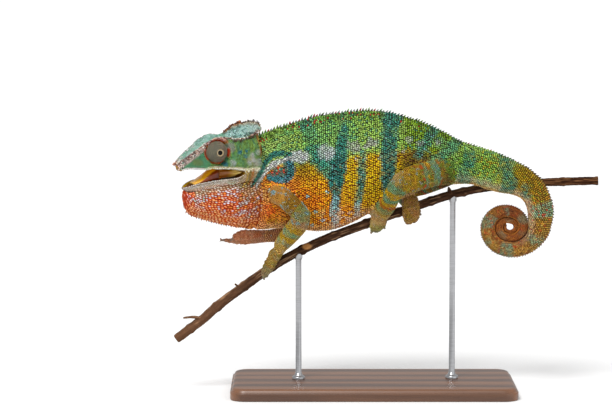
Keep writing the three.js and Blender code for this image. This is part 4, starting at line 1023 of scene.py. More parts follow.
# %% Skull: green above the jaws, a pale ridge along the snout, blue-green dishes, spots by the eye
def paint_skull(p, out, kind, at):
    x, side, z = at["x"], at["side"], at["z"]
    wave, fine = grain(p, 4.0, 11), grain(p, 1.3, 12)
    streak = grain(np.stack([x * 2.6, side * 0.2, z * 0.35], 1), 1.8, 13)
    skull = kind == 0
    lay(out, green=1, leaf=(streak > 0.25) * 0.6, jade=(streak < -0.2) * 0.5,
        olive=skull * ramp(-60, -50, x) * 0.22, deep_teal=skull * (grain(p, 1.1, 38) > 0.2) * 0.4)
    front = skull * ramp(-68, -74, x)
    lay(out, jade=front * 0.75, olive=oval(x, z, (-78, 156.5), (3.4, 2.2)) * skull * 0.45,
        sand=oval(x, z, (-42, 154), (4.6, 6)) * (0.4 + 0.4 * wave) * skull,
        grey=oval(x, z, (-55.5, 166), (2.6, 3.2)) * skull * 0.75)
    above = z - at["ridge_z"]
    band = np.interp(x, [-92, -84, -76, -71, -67], [6.0, 5.4, 4.6, 2.6, 0.8])
    ridge = skull * ramp(-band - 0.7, -band + 0.7, above + 0.5 * wave) * (side > at["crest"] * 0.8) * (x < -66)
    lay(out, ridge=ridge, grey=ridge * (fine > 0.2) * 0.6, pink=ridge * (wave > 0.1) * 0.4,
        maroon=ridge * (grain(p, 1.1, 18) > 0.5) * 0.6)
    plane = skull * (z > at["crown"] - 3.2) * (side < at["crest"] - 0.5) * stripe(x, -90, -57, 1.5)
    lay(out, jade=plane, dish=plane * (0.42 + 0.4 * (fine > 0)) * stripe(x, -90, -59, 3),
        teal=plane * (wave > 0.25) * 0.35,
        chalk=skull * stripe(above, -1.2, 1.2, 0.5) * (p[:, 1] > 0) * stripe(x, -90, -76, 1.5)
        * (fine > 0) * 0.8)
    dish = skull * ramp(-0.3, 0.3, above) * (side < at["crest"] - 0.3) * ramp(-59, -56, x)
    lay(out, dish=dish, teal=dish * (grain(p, 1.9, 14) > 0.35) * 0.55 * ramp(-36, -42, x))
    edge_in = np.maximum(ramp(1.4, 0.5, above), ramp(2.6, 1.2, at["crown"] - z) * (side < 4.5))
    lay(out, white=dish * ramp(-44, -38, x) * 0.35,
        maroon=dish * (grain(p, 1.5, 15) > 0.0) * edge_in * 0.85,
        deep_teal=dish * (grain(p, 1.3, 19) > 0.3) * 0.65)
    under = skull * stripe(above, -2.6, -0.9, 0.35) * ramp(-56, -53, x)
    lay(out, maroon=under * (0.35 + 0.65 * (fine > -0.1)) * 0.9,
        chalk=skull * near(at["ridge"], 0.8) * ramp(-66, -63, x) * 0.8,
        pink=skull * near(at["ridge"], 0.9) * ramp(-60, -52, x) * 0.4,
        white=skull * near(at["ridge"] - 0.4, 0.5) * (x < -66) * (above > 0.2) * 0.85)
    rim = skull * near(side, 1.1) * ramp(-59, -56, x) * (above > 0.5)
    lay(out, rust=rim * ramp(-40, -46, x) * 0.85, sand=rim * ramp(-46, -40, x) * 0.8,
        maroon=rim * (fine > 0.3) * 0.6)
    ring = at["orbit"]
    way = np.degrees(np.arctan2(z - EYE["z"], x - EYE["x"])) % 360
    brow = skull * (side > at["crest"] * 0.7) * (above < np.where(p[:, 1] > 0, -2.0, -0.3))
    lay(out, grey=brow * stripe(ring, 7.4, 10.2, 0.6) * stripe(way, 5, 60, 12) * 0.6,
        rust=brow * stripe(ring, 7.0, 10.4, 0.5) * stripe(way, 38, 158, 8),
        pink=brow * stripe(ring, 8.4, 10.8, 0.4) * stripe(way, 50, 168, 8) * 0.85,
        red=brow * stripe(ring, 7.0, 9.6, 0.5) * stripe(way, 55, 150, 8) * (wave > -0.5) * 0.8,
        chalk=brow * stripe(ring, 8.2, 10.6, 0.4) * stripe(way, 55, 165, 8) * 0.3)
    lay(out, red=skull * near(ring - 7.7, 0.6) * (stripe(way, 165, 225, 6) + stripe(way, 235, 315, 6)))
    lay(out, red=skull * near(ring - 8.2, 0.8) * stripe((way + 180) % 360, 155, 195, 6))
    for centre, size in (((-49.9, 162.9), 1.5), ((-46.2, 160.3), 1.4), ((-45.5, 163.4), 1.0),
                         ((-60, 154.8), 1.5)):
        lay(out, blue=skull * oval(x, z, centre, (size, size)) * (0.5 + 0.35 * (fine > 0)))
    for centre, size in (((-41.7, 160.9), 1.8), ((-37.2, 162.4), 1.8), ((-40.7, 157.4), 1.6),
                         ((-43.6, 155.7), 1.6), ((-55.3, 156.0), 2.2), ((-37, 157), 1.5)):
        lay(out, white=skull * oval(x + 0.5 * fine, z, centre, (size, size)) * (0.45 + 0.4 * (fine > 0)))
    lay(out, rust=skull * near(x + 34.6, 1.2) * stripe(z, 160, 176, 2) * 0.9)
    lip = skull * (1 - ramp(np.where(x > -72, 1.7, 1.0), np.where(x > -72, 2.6, 1.9), z - at["lip_z"]))
    lay(out, chalk=lip * ramp(-72, -75, x) * 0.9, cream=lip * ramp(-75, -72, x))
    tip = skull * ramp(-88, -90, x)
    lay(out, snout=tip * 0.9, chalk=tip * (0.2 + 0.5 * (fine > 0.1)),
        maroon=skull * near(at["nostril"], 0.7) * 0.8)


print("skull strokes ready")


# %% Lower jaw: a pale grey lip over a sandy and pink chin
def paint_jaw(p, out, kind, at):
    x, z = at["x"], at["z"]
    wave, fine = grain(p, 4.0, 11), grain(p, 1.3, 12)
    jaw = kind == 1
    lay(out, sand=jaw * 1.0)
    down = at["jaw_z"] - z
    lay(out, lip_grey=jaw * stripe(down, 0.8, 3.6, 0.5) * (0.75 + 0.25 * fine) * (x < -50),
        pink=jaw * ramp(3.4, 4.6, down + 0.5 * wave) * 0.8)
    lay(out, lip_grey=jaw * (fine > 0.3) * 0.5,
        chalk=jaw * ramp(1.5, 0.8, down) * (x < -45) * 0.8,
        mint=jaw * oval(x, z, (-56, 143), (3, 1.6)) * 0.5, sand=jaw * ramp(-50, -46, x) * 0.8,
        olive=jaw * ramp(-44, -40, x) * (wave > -0.2) * 0.4,
        maroon=(jaw | (kind == 2)) * near(z - at["jaw_low"], 0.5) * stripe(x, -86, -79, 1.5) * 0.7)


print("jaw strokes ready")


# %% Throat: red and orange, with lavender rows that slant down from the chin
def paint_throat(p, out, kind, at):
    x, side, z = at["x"], at["side"], at["z"]
    wave, fine = grain(p, 4.0, 11), grain(p, 1.3, 12)
    throat = kind == 2
    spread_out = np.sin(np.radians(at["turn"] * 24) + at["corner"] * 0.12)
    lay(out, throat=throat * 1.0)
    row_rise_at = np.interp(x, row_x, row_rise)
    drawn = np.stack([x / 3.4, side / 9, (z - row_rise_at) / 1.9], 1)
    streaks = grain(drawn, 1.0, 16)
    lay(out, red=throat * (streaks < -0.3) * 0.5,
        lavender=throat * ramp(-0.12, 0.03, streaks + 0.2 * wave) * 0.95,
        grey=throat * ramp(0.35, 0.45, streaks) * 0.3, mint=throat * (grain(p, 1.7, 20) > 0.66) * 0.8,
        orange=throat * (grain(drawn, 0.7, 17) > 0.42) * 0.8,
        throat=throat * ramp(12, 4, z - at["keel"]) * 0.75)
    lay(out, orange=throat * ramp(9, 3, z - at["keel"]) * (grain(p, 1.2, 39) > 0) * 0.6,
        throat=throat * ramp(10, 5, z - at["keel"]) * 0.4,
        sand=throat * ramp(-5.5, -1.5, z - at["jaw_low"] + 1.2 * wave) * (x > -80) * 0.75,
        red=throat * ramp(-81, -84.5, x) * 0.5)
    fan = ramp(-58, -46, x) * (kind > 0) * ramp(124, 134, z)
    lay(out, olive=fan * (spread_out > 0.1) * (x > -52) * 0.6, sand=fan * (spread_out < -0.3) * 0.6,
        rust=throat * ramp(-50, -38, x) * (fine > -0.2) * 0.6,
        orange=throat * ramp(-44, -35, x) * ramp(130, 116, z) * 0.5)
    lay(out, sand=oval(x, z, (-42.5, 140.5), (6, 7)) * 0.35)


def paint_head(p, out, kind):
    """kind is 0 on the skull, 1 on the lower jaw, 2 on the throat."""
    at = head_places(p)
    for painter in (paint_skull, paint_jaw, paint_throat):
        painter(p, out, kind, at)
    np.minimum(out * 1.1, 0.95, out=out)
    paint_folds(p, out)


print("throat strokes ready")


# %% The mouth's lining
def paint_mouth(p, out, normal, kind):
    """The moist lining inside the lips: yellow at the edges, deep orange inside, with painted shade on the
    lower jaw's lining further below the lip.
    """
    at = head_places(p)
    palate = (kind == 0) * (normal[:, 2] < -0.25) * (at["side"] < at["lip"] * 0.86) * (at["x"] < -45.5)
    floor = (kind == 1) * (at["side"] < at["jaw_lip"] - 1.0) * (at["x"] < -45.5) * (
        (at["z"] > at["jaw_low"] + 2.2) & (normal[:, 2] > -0.2))
    inside = ((palate + floor) > 0) & (at["z"] < at["lip_z"] + 3.2)
    # painted shade: the lining of the lower jaw darkens further below its lip, into the mouth
    lay(out, mouth=inside * 1.0,
        gape=inside * ramp(1.0, 2.6, at["jaw_z"] - at["z"]) * (kind == 1) * 0.8,
        yellow=inside * near(at["side"] - at["jaw_lip"] + 1.4, 0.8) * (kind == 1))
    return inside


print("mouth strokes ready")


# %% Legs and feet
TINT_BANDS = {  # node group: (from, to in millimetres along the limb, paint, strength)
    "arm_left": [(0, 22, "tan", 0.4), (18, 34, "olive", 0.7), (30, 43, "grey", 0.35), (27, 36, "green", 0.4),
                 (41, 46, "gold", 0.8), (46, 50.5, "jade", 0.85), (50.5, 55, "gold", 0.9),
                 (55.5, 59, "jade", 0.6), (58, 70, "tan", 0.7)],
    "arm_right": [(0, 30, "rust", 0.6), (24, 40, "orange", 0.6),
                  (36, 70, "snout", 0.9)],
    "leg_left": [(11.4, 17.2, "jade", 0.8), (20.8, 23.6, "jade", 0.75), (28, 41, "gold", 0.45),
                 (41.5, 45.5, "jade", 0.85), (45.5, 48.5, "yellow", 0.4), (48.8, 53.2, "jade", 0.9),
                 (54, 56, "yellow", 0.5), (57, 59, "red", 0.6), (59.5, 64, "jade", 0.6), (64, 70, "tan", 0.6)],
}
TINT_BANDS["leg_right"] = TINT_BANDS["leg_left"]


def paint_limb(p, out, limb):
    t, _, offset, _ = along_path(p, LIMBS[limb])
    wave, fine = grain(p, 4.0, 21), grain(p, 1.5, 22)
    front_leg = limb.startswith("arm")
    brush(out, "rust" if front_leg else "gold", np.ones(len(t)))
    lay(out, amber=(wave > 0) * (0.5 if front_leg else 0.3),
        olive=ramp(-0.3, 0.3, fine) * (0.35 if front_leg else 0.85))
    if front_leg:
        lay(out, gold=ramp(32, 44, t) * 0.5, tan=ramp(34, 46, t + 2 * wave) * 0.5,
            leaf=(grain(p, 2.0, 28) > 0.2) * ramp(26, 40, t) * 0.35,
            amber=(fine > 0.1) * ramp(38, 46, t) * 0.35,
            yellow=(grain(p, 1.2, 46) > -0.1) * stripe(t, 40, 64, 3) * 0.45)
    under = ramp(1, 4.5, -offset[:, 2])
    lay(out, belly=under * (0.5 if front_leg else 0.2))
    if not front_leg:
        lay(out, amber=ramp(4.0, 7.0, np.abs(offset[:, 2])) * (t < 36) * 0.8,
            olive=np.clip(0.45 + 0.3 * wave, 0, 1) * (t < 45),
            moss=(grain(p, 1.7, 29) > 0.3) * (t < 40) * 0.6, rust=(grain(p, 1.6, 30) > 0.35) * 0.45,
            maroon=(grain(p, 1.2, 44) > 0.3) * 0.4, yellow=(grain(p, 1.1, 45) > 0.55) * 0.4,
            sand=near(np.hypot(t - 38.5, (offset[:, 0] + 4) * 1.2), 3.6) * 0.55)
    bend = t + 1.1 * wave + 0.7 * fine + 0.12 * offset[:, 0]
    patchy = 0.78 + 0.34 * grain(p, 1.9, 24)
    for low, high, name, strength in TINT_BANDS[limb]:
        brush(out, name, stripe(bend, low, high, 0.7) * strength * np.clip(patchy, 0.2, 1))
    lay(out, sky=(grain(p, 1.6, 25) > 0.6) * stripe(t, 6, 60, 4) * 0.5,
        grey=(grain(p, 2.0, 26) > 0.5) * (0.35 if front_leg else 0.15))
    if not front_leg:
        lay(out, red=near(bend - 24.3, 0.9) * (fine > 0.1) * 0.8)
        lay(out, red=near(bend - 10.6, 0.8) * (fine > 0.2) * 0.6)
    else:
        for spot in (5.0, 9.5):
            lay(out, sky=oval(t, offset[:, 2], (spot, 1.0), (1.7, 1.4)) * 0.9)
        lay(out, sky=(grain(p, 2.3, 23) > 0.55) * (t < 40) * 0.7)
    return t


print("bands round the limbs:", {name: len(rows) for name, rows in TINT_BANDS.items()})


# %% Feet, and every region together
def paint_foot(p, out, node):
    wave, fine = grain(p, 3.5, 31), grain(p, 1.4, 32)
    lay(out, tan=1, olive=(grain(p, 1.5, 37) > 0.25) * 0.5, grey=(grain(p, 1.8, 33) > 0.2) * 0.35)
    low, high = p[:, 2].min(), p[:, 2].max()
    deep = (p[:, 2] - low) / (high - low)
    lay(out, olive=(wave > 0.1) * 0.3, rust=(fine > 0.3) * 0.4)
    if node.startswith("foot"):
        lay(out, sand=0.15)
    if node == "foot_left":
        lay(out, leaf=ramp(0.4, 0.15, deep) * 0.35,
            grey=ramp(0.16, 0.05, deep + 0.04 * wave) * 0.5)
    if node == "foot_right":
        lay(out, rust=0.35, olive=(fine < -0.2) * 0.4, gold=(grain(p, 1.5, 34) > 0.2) * 0.4)
    if node == "hand_left":
        lay(out, olive=0.35, grey=ramp(0.5, 0.1, deep) * 0.4)
    if node == "hand_right":
        lay(out, snout=0.9, throat=(wave > -0.1) * 0.4, rust=(fine > 0.2) * 0.3)


def paint_all(p, normal, where):
    """Scale and gap colours of points of the laid-out skin, and which are inside the mouth."""
    out, inside, at_pose = np.full((len(p), 6), 0.5), np.zeros(len(p), bool), to_pose(p)

    def paint(names, painter, points, *more):
        rows = np.flatnonzero(belongs(where, names))
        part = out[rows]
        given = painter(points[rows], part, *(m[rows] if isinstance(m, np.ndarray) else m for m in more))
        out[rows] = part
        return rows, given

    paint(["neck", "trunk"], paint_trunk, p)
    paint(BODY[2:], paint_tail, p)
    kind = 1 * belongs(where, ["lower_jaw"]) + 2 * belongs(where, ["throat_pouch"])
    heads = ["head", "eye_left", "eye_right", "lower_jaw", "throat_pouch"]
    paint(heads, paint_head, p, kind)
    rows, mouth = paint(heads, paint_mouth, p, normal, kind)
    inside[rows] = mouth
    for name in limb_names:
        rows, _ = paint(LIMB_NODES[name], paint_trunk, p)
        flank = out[rows]
        out[rows] = 0.5
        _, t = paint(LIMB_NODES[name], paint_limb, at_pose, name)
        reach = (5, 13) if name.startswith("leg") else (-2, 4)
        out[rows] = blend(flank, out[rows], ramp(*reach, t + 2 * grain(p[rows], 3.0, 27)))
    for node in FEET:
        if belongs(where, [node]).any():
            paint([node], paint_foot, at_pose, node)
    return out, inside


print("strokes ready for", *FEET)

# %% Raise the folds, and paint the skin
x, v = side_view(laid)
creased = np.flatnonzero((x > -50) & (x < -8) & (np.abs(laid[:, 1]) > 5) & (v > 134) & (v < 164)
                         & part_of("head", "neck", "trunk", "lower_jaw", "throat_pouch"))
lift = sum(high * ribbon(x[creased], v[creased], rows, soft) for high, soft, rows in
           ((0.75, 1.0, WHITE_FOLD), (0.6, 1.0, TEAL_FOLD), *((0.35, 0.8, rows) for _, rows in FAN)))
laid[creased] += normals_of(laid, tris)[creased] * (lift - 0.25)[:, None]
print("folds raised by up to", lift.max().round(2), "mm")
laid_normal = normals_of(laid, tris)
skin_colour, in_mouth = paint_all(laid, laid_normal, region)
print("skin points inside the mouth:", int(in_mouth.sum()))

# %% [markdown]
# ## Places of the scales
# A panther chameleon is covered in granules: round beads about a millimetre and a half across on
# the flanks, where they stand in upright columns, small ones on the face, legs and feet, long ones
# in slanting rows on the throat. Regular rows are laid out by the body's own coordinates, and the
# rest is scattered evenly by Geometry Nodes and then pushed apart, as real granules crowd.

# %% Carry places on the laid-out skin into the pose
laid_tree = BVHTree.FromPolygons(laid.tolist(), tris.tolist())
laid_normal = normals_of(laid, tris)
posed = to_pose(laid)
posed_normal = normals_of(posed, tris)


def unit(v):
    return v / np.maximum(norm(v, axis=-1, keepdims=True), 1e-9)


def settle(p, reach=1.2):
    """The nearest places on the skin: points, face numbers, and which are within reach."""
    hits = [laid_tree.find_nearest(q) for q in np.asarray(p).tolist()]
    place, _, face, gap = (np.array(part) for part in zip(*hits))
    return place, face, gap < reach


def mixed(values, place, face):
    """Point values of the skin at places inside its triangles."""
    a, b, c = (laid[tris[face, k]] for k in range(3))
    whole = np.cross(b - a, c - a)
    size = np.maximum((whole * whole).sum(1), 1e-12)
    wb = (np.cross(place - a, c - a) * whole).sum(1) / size
    wc = (np.cross(b - a, place - a) * whole).sum(1) / size
    weight = np.clip(np.stack([1 - wb - wc, wb, wc], 1), 0, 1)
    return sum(values[tris[face, k]] * weight[:, k, None] for k in range(3))


def chosen(roots, keep):
    return {key: value[keep] for key, value in roots.items()}


def joined(*several):
    return {key: np.concatenate([r[key] for r in several]) for key in several[0]}


def roots_at(place, face, along, size):
    """Everything that scales need to know: none stand inside the mouth."""
    here = to_pose(place)
    colour, inside = paint_all(place, unit(mixed(laid_normal, place, face)), region[tris[face, 0]])
    return chosen({"laid": place, "place": here, "facing": unit(mixed(posed_normal, place, face)),
                   "along": unit(to_pose(place + 0.2 * along) - here), "size": size,
                   "tint": colour[:, :3]}, ~inside)


print("skin in the pose:", len(posed), "points")


# %% Rings of places round the body
def body_section(stations, side, count=97):
    """The laid-out body's section on one side, from back to belly, at many stations."""
    s = np.asarray(stations, float)[:, None] * np.ones(count)
    return on_ring(s, np.linspace(0, math.pi, count) + 0 * s, side)


def ringed(stations, side, pitch_of, seed):
    """Places in rings round the body, each ring set off by half a scale from the last."""
    curve = body_section(stations, side)
    step = norm(np.diff(curve, axis=1), axis=2)
    pick = default_rng(seed)
    places, widths = [], []
    for i in range(len(stations)):
        pitch = pitch_of(stations[i], np.linspace(1, 0, step.shape[1]))
        rank = running(step[i] / pitch)
        middle = rank[np.searchsorted(np.cumsum(step[i]), step[i].sum() * 0.5)]
        wanted = np.arange(-200, 200) + middle % 1 + 0.5 * (i % 2)
        wanted = wanted[(wanted > 0.45) & (wanted < rank[-1] - 0.1)]
        wanted = wanted + pick.normal(0, 0.11, len(wanted))
        places.append(np.stack([np.interp(wanted, rank, curve[i, :, k]) for k in range(3)], 1))
        widths.append(np.interp(wanted, rank[1:], pitch))
    return np.vstack(places), np.concatenate(widths)


def ring_scales(stations, side, pitch_of, seed, uneven, size_of, ahead, joins=()):
    """Scales in rings; uneven is the spread of their places and sizes and the sizes' limits."""
    p, pitch = ringed(stations, side, pitch_of, seed)
    pick = default_rng(seed + 50)
    place, face, close = settle(p + pick.normal(0, uneven[0], p.shape))
    where = region[tris[face, 0]]
    close &= belongs(where, BODY) | (belongs(where, joins) & (place[:, 0] > -35.4))
    place, face, pitch = place[close], face[close], pitch[close]
    size = np.stack(size_of(pitch), 1) * np.clip(pick.normal(1, uneven[1], len(place)), *uneven[2:])[:, None]
    return roots_at(place, face, np.tile(ahead, (len(place), 1)), size)


# %% Flanks and tail in rings
COARSE = 1.3  # mm between columns of scales on the flank
AHEAD = [1.0, 0, 0]
trunk_s = np.linspace(0, TAIL_ROOT, 800)
trunk_mid = ruling(trunk_s)[0] + ruling(trunk_s)[1] / 2
trunk_length = running(norm(np.diff(trunk_mid, axis=0), axis=1))
columns = np.linspace(0.4, trunk_length[-1] - 0.6, round(trunk_length[-1] / COARSE))
columns = np.interp(columns, trunk_length, trunk_s)


def flank(side, seed):
    return ring_scales(columns, side, lambda s, high: 1.34 + 0.24 * ramp(0.8, 0.5, high), seed,
                       (0.13, 0.13, 0.7, 1.35), lambda pitch: (0.475 * pitch, 0.475 * pitch, 0.45 + 0 * pitch),
                       AHEAD, ("head", "lower_jaw", "throat_pouch"))


def tail_pitch(station, high=0.0):
    return np.clip(ruling(np.asarray(station, float))[2] * 0.092, 0.62, 1.36) + 0 * high


def tail(side, low, high, seed):
    rank = running(np.diff(fine_length) / (tail_pitch(s_fine) * 0.88)[1:])
    stations = np.interp(np.arange(0.5, rank[-1] - 0.5), rank, s_fine)
    length = np.interp(stations, s_fine, fine_length)
    return ring_scales(stations[(length >= low) & (length < high)], side, tail_pitch, seed,
                       (0.05, 0.09, 0.75, 1.25), lambda pitch: (0.485 * pitch, 0.475 * pitch, 0.35 * pitch),
                       [ROOT_AHEAD[0], 0, ROOT_AHEAD[1]])


COIL_START, TAIL_END = 78, 300  # mm along the tail
flanks = {"left": flank(-1, 11), "right": flank(1, 12)}
tail_front = joined(tail(-1, 0, COIL_START, 13), tail(1, 0, COIL_START, 14))
tail_coil = joined(tail(-1, COIL_START, TAIL_END, 15), tail(1, COIL_START, TAIL_END, 16))
print("flank scales:", [len(r["place"]) for r in flanks.values()],
      " tail:", len(tail_front["place"]), len(tail_coil["place"]))

# %% [markdown]
# ## Long scales of the throat
# The throat's scales are long and lie in rows that run down and back from the chin and rise again
# in the folds behind. The rows are level lines of one curve, measured downwards from the jaw
# along the skin, so they keep their spacing where the pouch turns under.

# %% Rows on the throat
grid_x = np.linspace(-85.4, -34.2, 90)
grid_turns = np.radians(np.linspace(60, -90, 90))


def throat_grid(side):
    """Points down the throat from the jaw's edge, at many x."""
    low, keel = jaw_at(grid_x)[:, 2], gular_at(grid_x)[:, 0]
    grid = np.zeros((len(grid_x), len(grid_turns), 3))
    for i, z in enumerate(keel + 0.6 * (low - keel)):
        start = Vector((grid_x[i], 0, z))
        for j, turn in enumerate(grid_turns):
            out = Vector((0, side * math.cos(turn), math.sin(turn)))
            grid[i, j] = laid_tree.ray_cast(start + out * 30, -out)[0] or start
    return grid


def throat_rows(side, seed):
    grid = throat_grid(side)
    way = np.array([running(norm(np.diff(line, axis=0), axis=1)) for line in grid])
    edge = -jaw_at(grid_x)[:, 2] + 0.3
    start = np.array([np.interp(edge[i], -grid[i, :, 2], way[i]) for i in range(len(grid_x))])
    pick = default_rng(seed)
    places, slopes = [], []
    for level in np.arange(-70, 90, 1.42):
        x = -85.6 + pick.random()
        while x < -34.4:
            slope = np.interp(x, row_x, row_slope)
            down = level - np.interp(x, row_x, row_rise) + pick.normal(0, 0.12)
            i = int(np.clip(round((x - grid_x[0]) / (grid_x[1] - grid_x[0])), 0, len(grid_x) - 1))
            if 0 < down < way[i, -1] - start[i] - 0.3:
                places.append([x, *(np.interp(start[i] + down, way[i], grid[i, :, k]) for k in (1, 2))])
                slopes.append(slope)
            x += 2.15 * math.cos(math.atan(slope)) * pick.uniform(0.85, 1.15)
    place, face, close = settle(places)
    close &= belongs(region[tris[face, 0]], ["throat_pouch"])
    place, face, slope = place[close], face[close], np.array(slopes)[close]
    size = np.stack([1.1 + 0 * slope, 0.55 * np.cos(np.arctan(slope)), 0.42 + 0 * slope], 1)
    size *= np.clip(pick.normal(1, 0.12, len(place)), 0.7, 1.3)[:, None]
    return roots_at(place, face, unit(np.stack([1 + 0 * slope, 0 * slope, slope], 1)), size)


throat = joined(throat_rows(-1, 21), throat_rows(1, 22))
print("throat scales:", len(throat["place"]))

# %% [markdown]
# ## Scattered granules
# The face, the legs and the feet have no strict rows. Distribute Points on Faces in its Poisson
# mode gives places that are never closer than a set distance. A few rounds of pushing each place
# away from its neighbours then packs them as evenly as real granules.

# %% Even scatter with Geometry Nodes
def add(tree, kind, settings=None, **sockets):
    """Adds a node with its settings; each socket gets a value or a link from another socket."""
    node = tree.nodes.new(kind)
    for key, value in (settings or {}).items():
        setattr(node, key, value)
    for key, value in sockets.items():
        socket = node.inputs[int(key[1:])] if key[0] == "_" else node.inputs[key.replace("_", " ")]
        if isinstance(value, bpy.types.NodeSocket):
            tree.links.new(value, socket)
        else:
            socket.default_value = value
    return node


def new_tree(name, sockets):
    """A Geometry Nodes tree with a geometry in and out and the named inputs."""
    tree = bpy.data.node_groups.new(name, "GeometryNodeTree")
    tree.interface.new_socket("Geometry", in_out="INPUT", socket_type="NodeSocketGeometry")
    for label, kind, value in sockets:
        socket = tree.interface.new_socket(label, in_out="INPUT", socket_type=kind)
        if value is not None:
            socket.default_value = value
    tree.interface.new_socket("Geometry", in_out="OUTPUT", socket_type="NodeSocketGeometry")
    tree.is_modifier = True
    return tree


def run_tree(thing, tree, values, name):
    """Runs a tree on an object with its inputs set, and returns the result as a plain mesh."""
    modifier = thing.modifiers.new(tree.name, "NODES")
    modifier.node_group = tree
    for item in tree.interface.items_tree:
        if item.item_type == "SOCKET" and item.in_out == "INPUT" and item.name in values:
            modifier[item.identifier] = values[item.name]
    return plain(thing, name)


scatter_tree = new_tree("even scatter", [("Spacing", "NodeSocketFloat", 1.0), ("Seed", "NodeSocketInt", 1)])
source = scatter_tree.nodes.new("NodeGroupInput").outputs
chosen_faces = add(scatter_tree, "GeometryNodeInputNamedAttribute", {"data_type": "BOOLEAN"}, Name="here")
spacing = source["Spacing"]
square = add(scatter_tree, "ShaderNodeMath", {"operation": "MULTIPLY"}, _0=spacing, _1=spacing)
density = add(scatter_tree, "ShaderNodeMath", {"operation": "DIVIDE"}, _0=5.0, _1=square.outputs[0])
sown = add(scatter_tree, "GeometryNodeDistributePointsOnFaces", {"distribute_method": "POISSON"},
           Mesh=source["Geometry"], Selection=chosen_faces.outputs["Attribute"], Seed=source["Seed"],
           Distance_Min=spacing, Density_Max=density.outputs[0])
as_vertices = add(scatter_tree, "GeometryNodePointsToVertices", None, Points=sown.outputs["Points"])
add(scatter_tree, "NodeGroupOutput", None, Geometry=as_vertices.outputs[0])


print("nodes that scatter:", len(scatter_tree.nodes))


# %% Places pushed apart until they lie evenly
def kd_of(p):
    tree = KDTree(len(p))
    for i, q in enumerate(p.tolist()):
        tree.insert(q, i)
    tree.balance()
    return tree


def scatter(face_mask, spacing, seed, rounds=4):
    """Even places on the chosen faces of the laid-out skin, and the room round each."""
    carrier = new_mesh("scatter", laid, tris)
    carrier.attributes.new("here", "BOOLEAN", "FACE").data.foreach_set("value", face_mask)
    inputs = {"Spacing": spacing * 0.8, "Seed": seed}
    mesh = run_tree(new_object("scatter", carrier), scatter_tree, inputs, "sown")
    p = np.array([v.co for v in mesh.vertices])
    for _ in range(rounds):
        near_by = kd_of(p)
        around = np.array([[n[1] for n in near_by.find_n(q, 7)][1:] for q in p.tolist()])
        apart = p[:, None, :] - p[around]
        gap = norm(apart, axis=2, keepdims=True)
        push = (apart / np.maximum(gap, 1e-6) * np.maximum(spacing * 1.15 - gap, 0)).sum(1)
        moved, face, _ = settle(p + 0.3 * push, 9)
        p = np.where(face_mask[face][:, None], moved, p)
    near_by = kd_of(p)
    room = np.array([np.mean([n[2] for n in near_by.find_n(q, 6)][1:]) for q in p.tolist()])
    place, face, _ = settle(p, 9)
    return place, face, np.clip(room, 0.6 * spacing, 1.35 * spacing)


print("nearest of nine places to the fourth:", kd_of(laid[:9]).find(laid[3].tolist())[1])


# %% Granules on face, jaw, legs and feet
def faces_of(names):
    """Faces of the named regions outside the mouth; feet and head also take the border's faces."""
    inside = part_of(*names)[tris]
    whole = inside.any(1) if names[0][:4] in ("hand", "foot", "head") else inside.all(1)
    return whole & ~in_mouth[tris].any(1)


def granules(names, spacing, seed, shape, ahead=None, mask=True):
    place, face, room = scatter(faces_of(names) & mask, spacing, seed)
    grow = np.clip(default_rng(seed).normal(1, 0.1, len(place)), 0.7, 1.3)
    size = 0.455 * (room * grow)[:, None] * np.array(shape)
    return roots_at(place, face, ahead(place) if ahead else np.tile(AHEAD, (len(place), 1)), size)


def down_the_leg(limb):
    """The way that the scales of a leg point: along its path."""
    def ahead(p):
        rows = fine_path(LIMBS[limb], 160)[0]
        k = norm(to_pose(p)[:, None, :] - rows[None], axis=2).argmin(1)
        return unit(rows[np.minimum(k + 1, 159)] - rows[np.maximum(k - 1, 0)])
    return ahead


under_turret = (np.hypot(laid[:, 0] - EYE["x"], laid[:, 2] - EYE["z"]) < 6.9) & (np.abs(laid[:, 1]) > 5.5)
face_scales = granules(["head"], 0.92, 31, (0.9, 1.12, 0.5), mask=(~under_turret)[tris].all(1))
jaw_scales = granules(["lower_jaw"], 0.88, 32, (1.2, 0.82, 0.42))
legs = [granules(LIMB_NODES[name], 1.02, 40 + k, (0.86, 1.12, 0.46), down_the_leg(name))
        for k, name in enumerate(limb_names)]
feet = [granules([node], 0.86, 50 + k, (1.0, 1.0, 0.46)) for k, node in enumerate(FEET)]
print("face:", len(face_scales["place"]), " jaw:", len(jaw_scales["place"]),
      " legs:", [len(r["place"]) for r in legs], " feet:", [len(r["place"]) for r in feet])

# %% [markdown]
# ## Crests, ridges and lips
# Single rows of special scales finish the outline: soft spikes along the back and under the
# throat, blunt tubercles on the bony ridges, and a neat row of plates along each lip.

# %% Rows along a line on the skin
def line_scales(p, ahead, size, lean=0.0, names=None):
    """Scales at given places of the laid-out skin. A lean tips them along their direction."""
    place, face, close = settle(p, 2.5)
    if names:
        close &= belongs(region[tris[face, 0]], names)
    roots = roots_at(place, face, np.asarray(ahead, float), size)
    if len(roots["place"]) == len(place):
        roots = chosen(roots, close)
    roots["facing"] = unit(roots["facing"] + lean * roots["along"])
    return roots


def sized(girth, count, pick=None, low=1.0, high=1.0):
    """One size for a row of scales, varied between two shares of it."""
    return np.tile(girth, (count, 1)) * (pick.uniform(low, high, (count, 1)) if pick else 1)


def mottled(count, codes, pick):
    """A colour for each of a number of scales, picked at random from hex values."""
    return np.array([linear(code) for code in codes.split()])[pick.integers(0, len(codes.split()), count)]


def marked(roots, *marks):
    """Gives some scales another colour or, where it is a number, a darker shade of their own."""
    for where, colour in marks:
        other = roots["tint"] * colour if isinstance(colour, float) else linear(colour)
        roots["tint"] = np.where(where[:, None], other, roots["tint"])
    return roots


print("three sizes of one row:", sized([1, 1, 1], 3, default_rng(1), 0.8, 1.2)[:, 0].round(2))


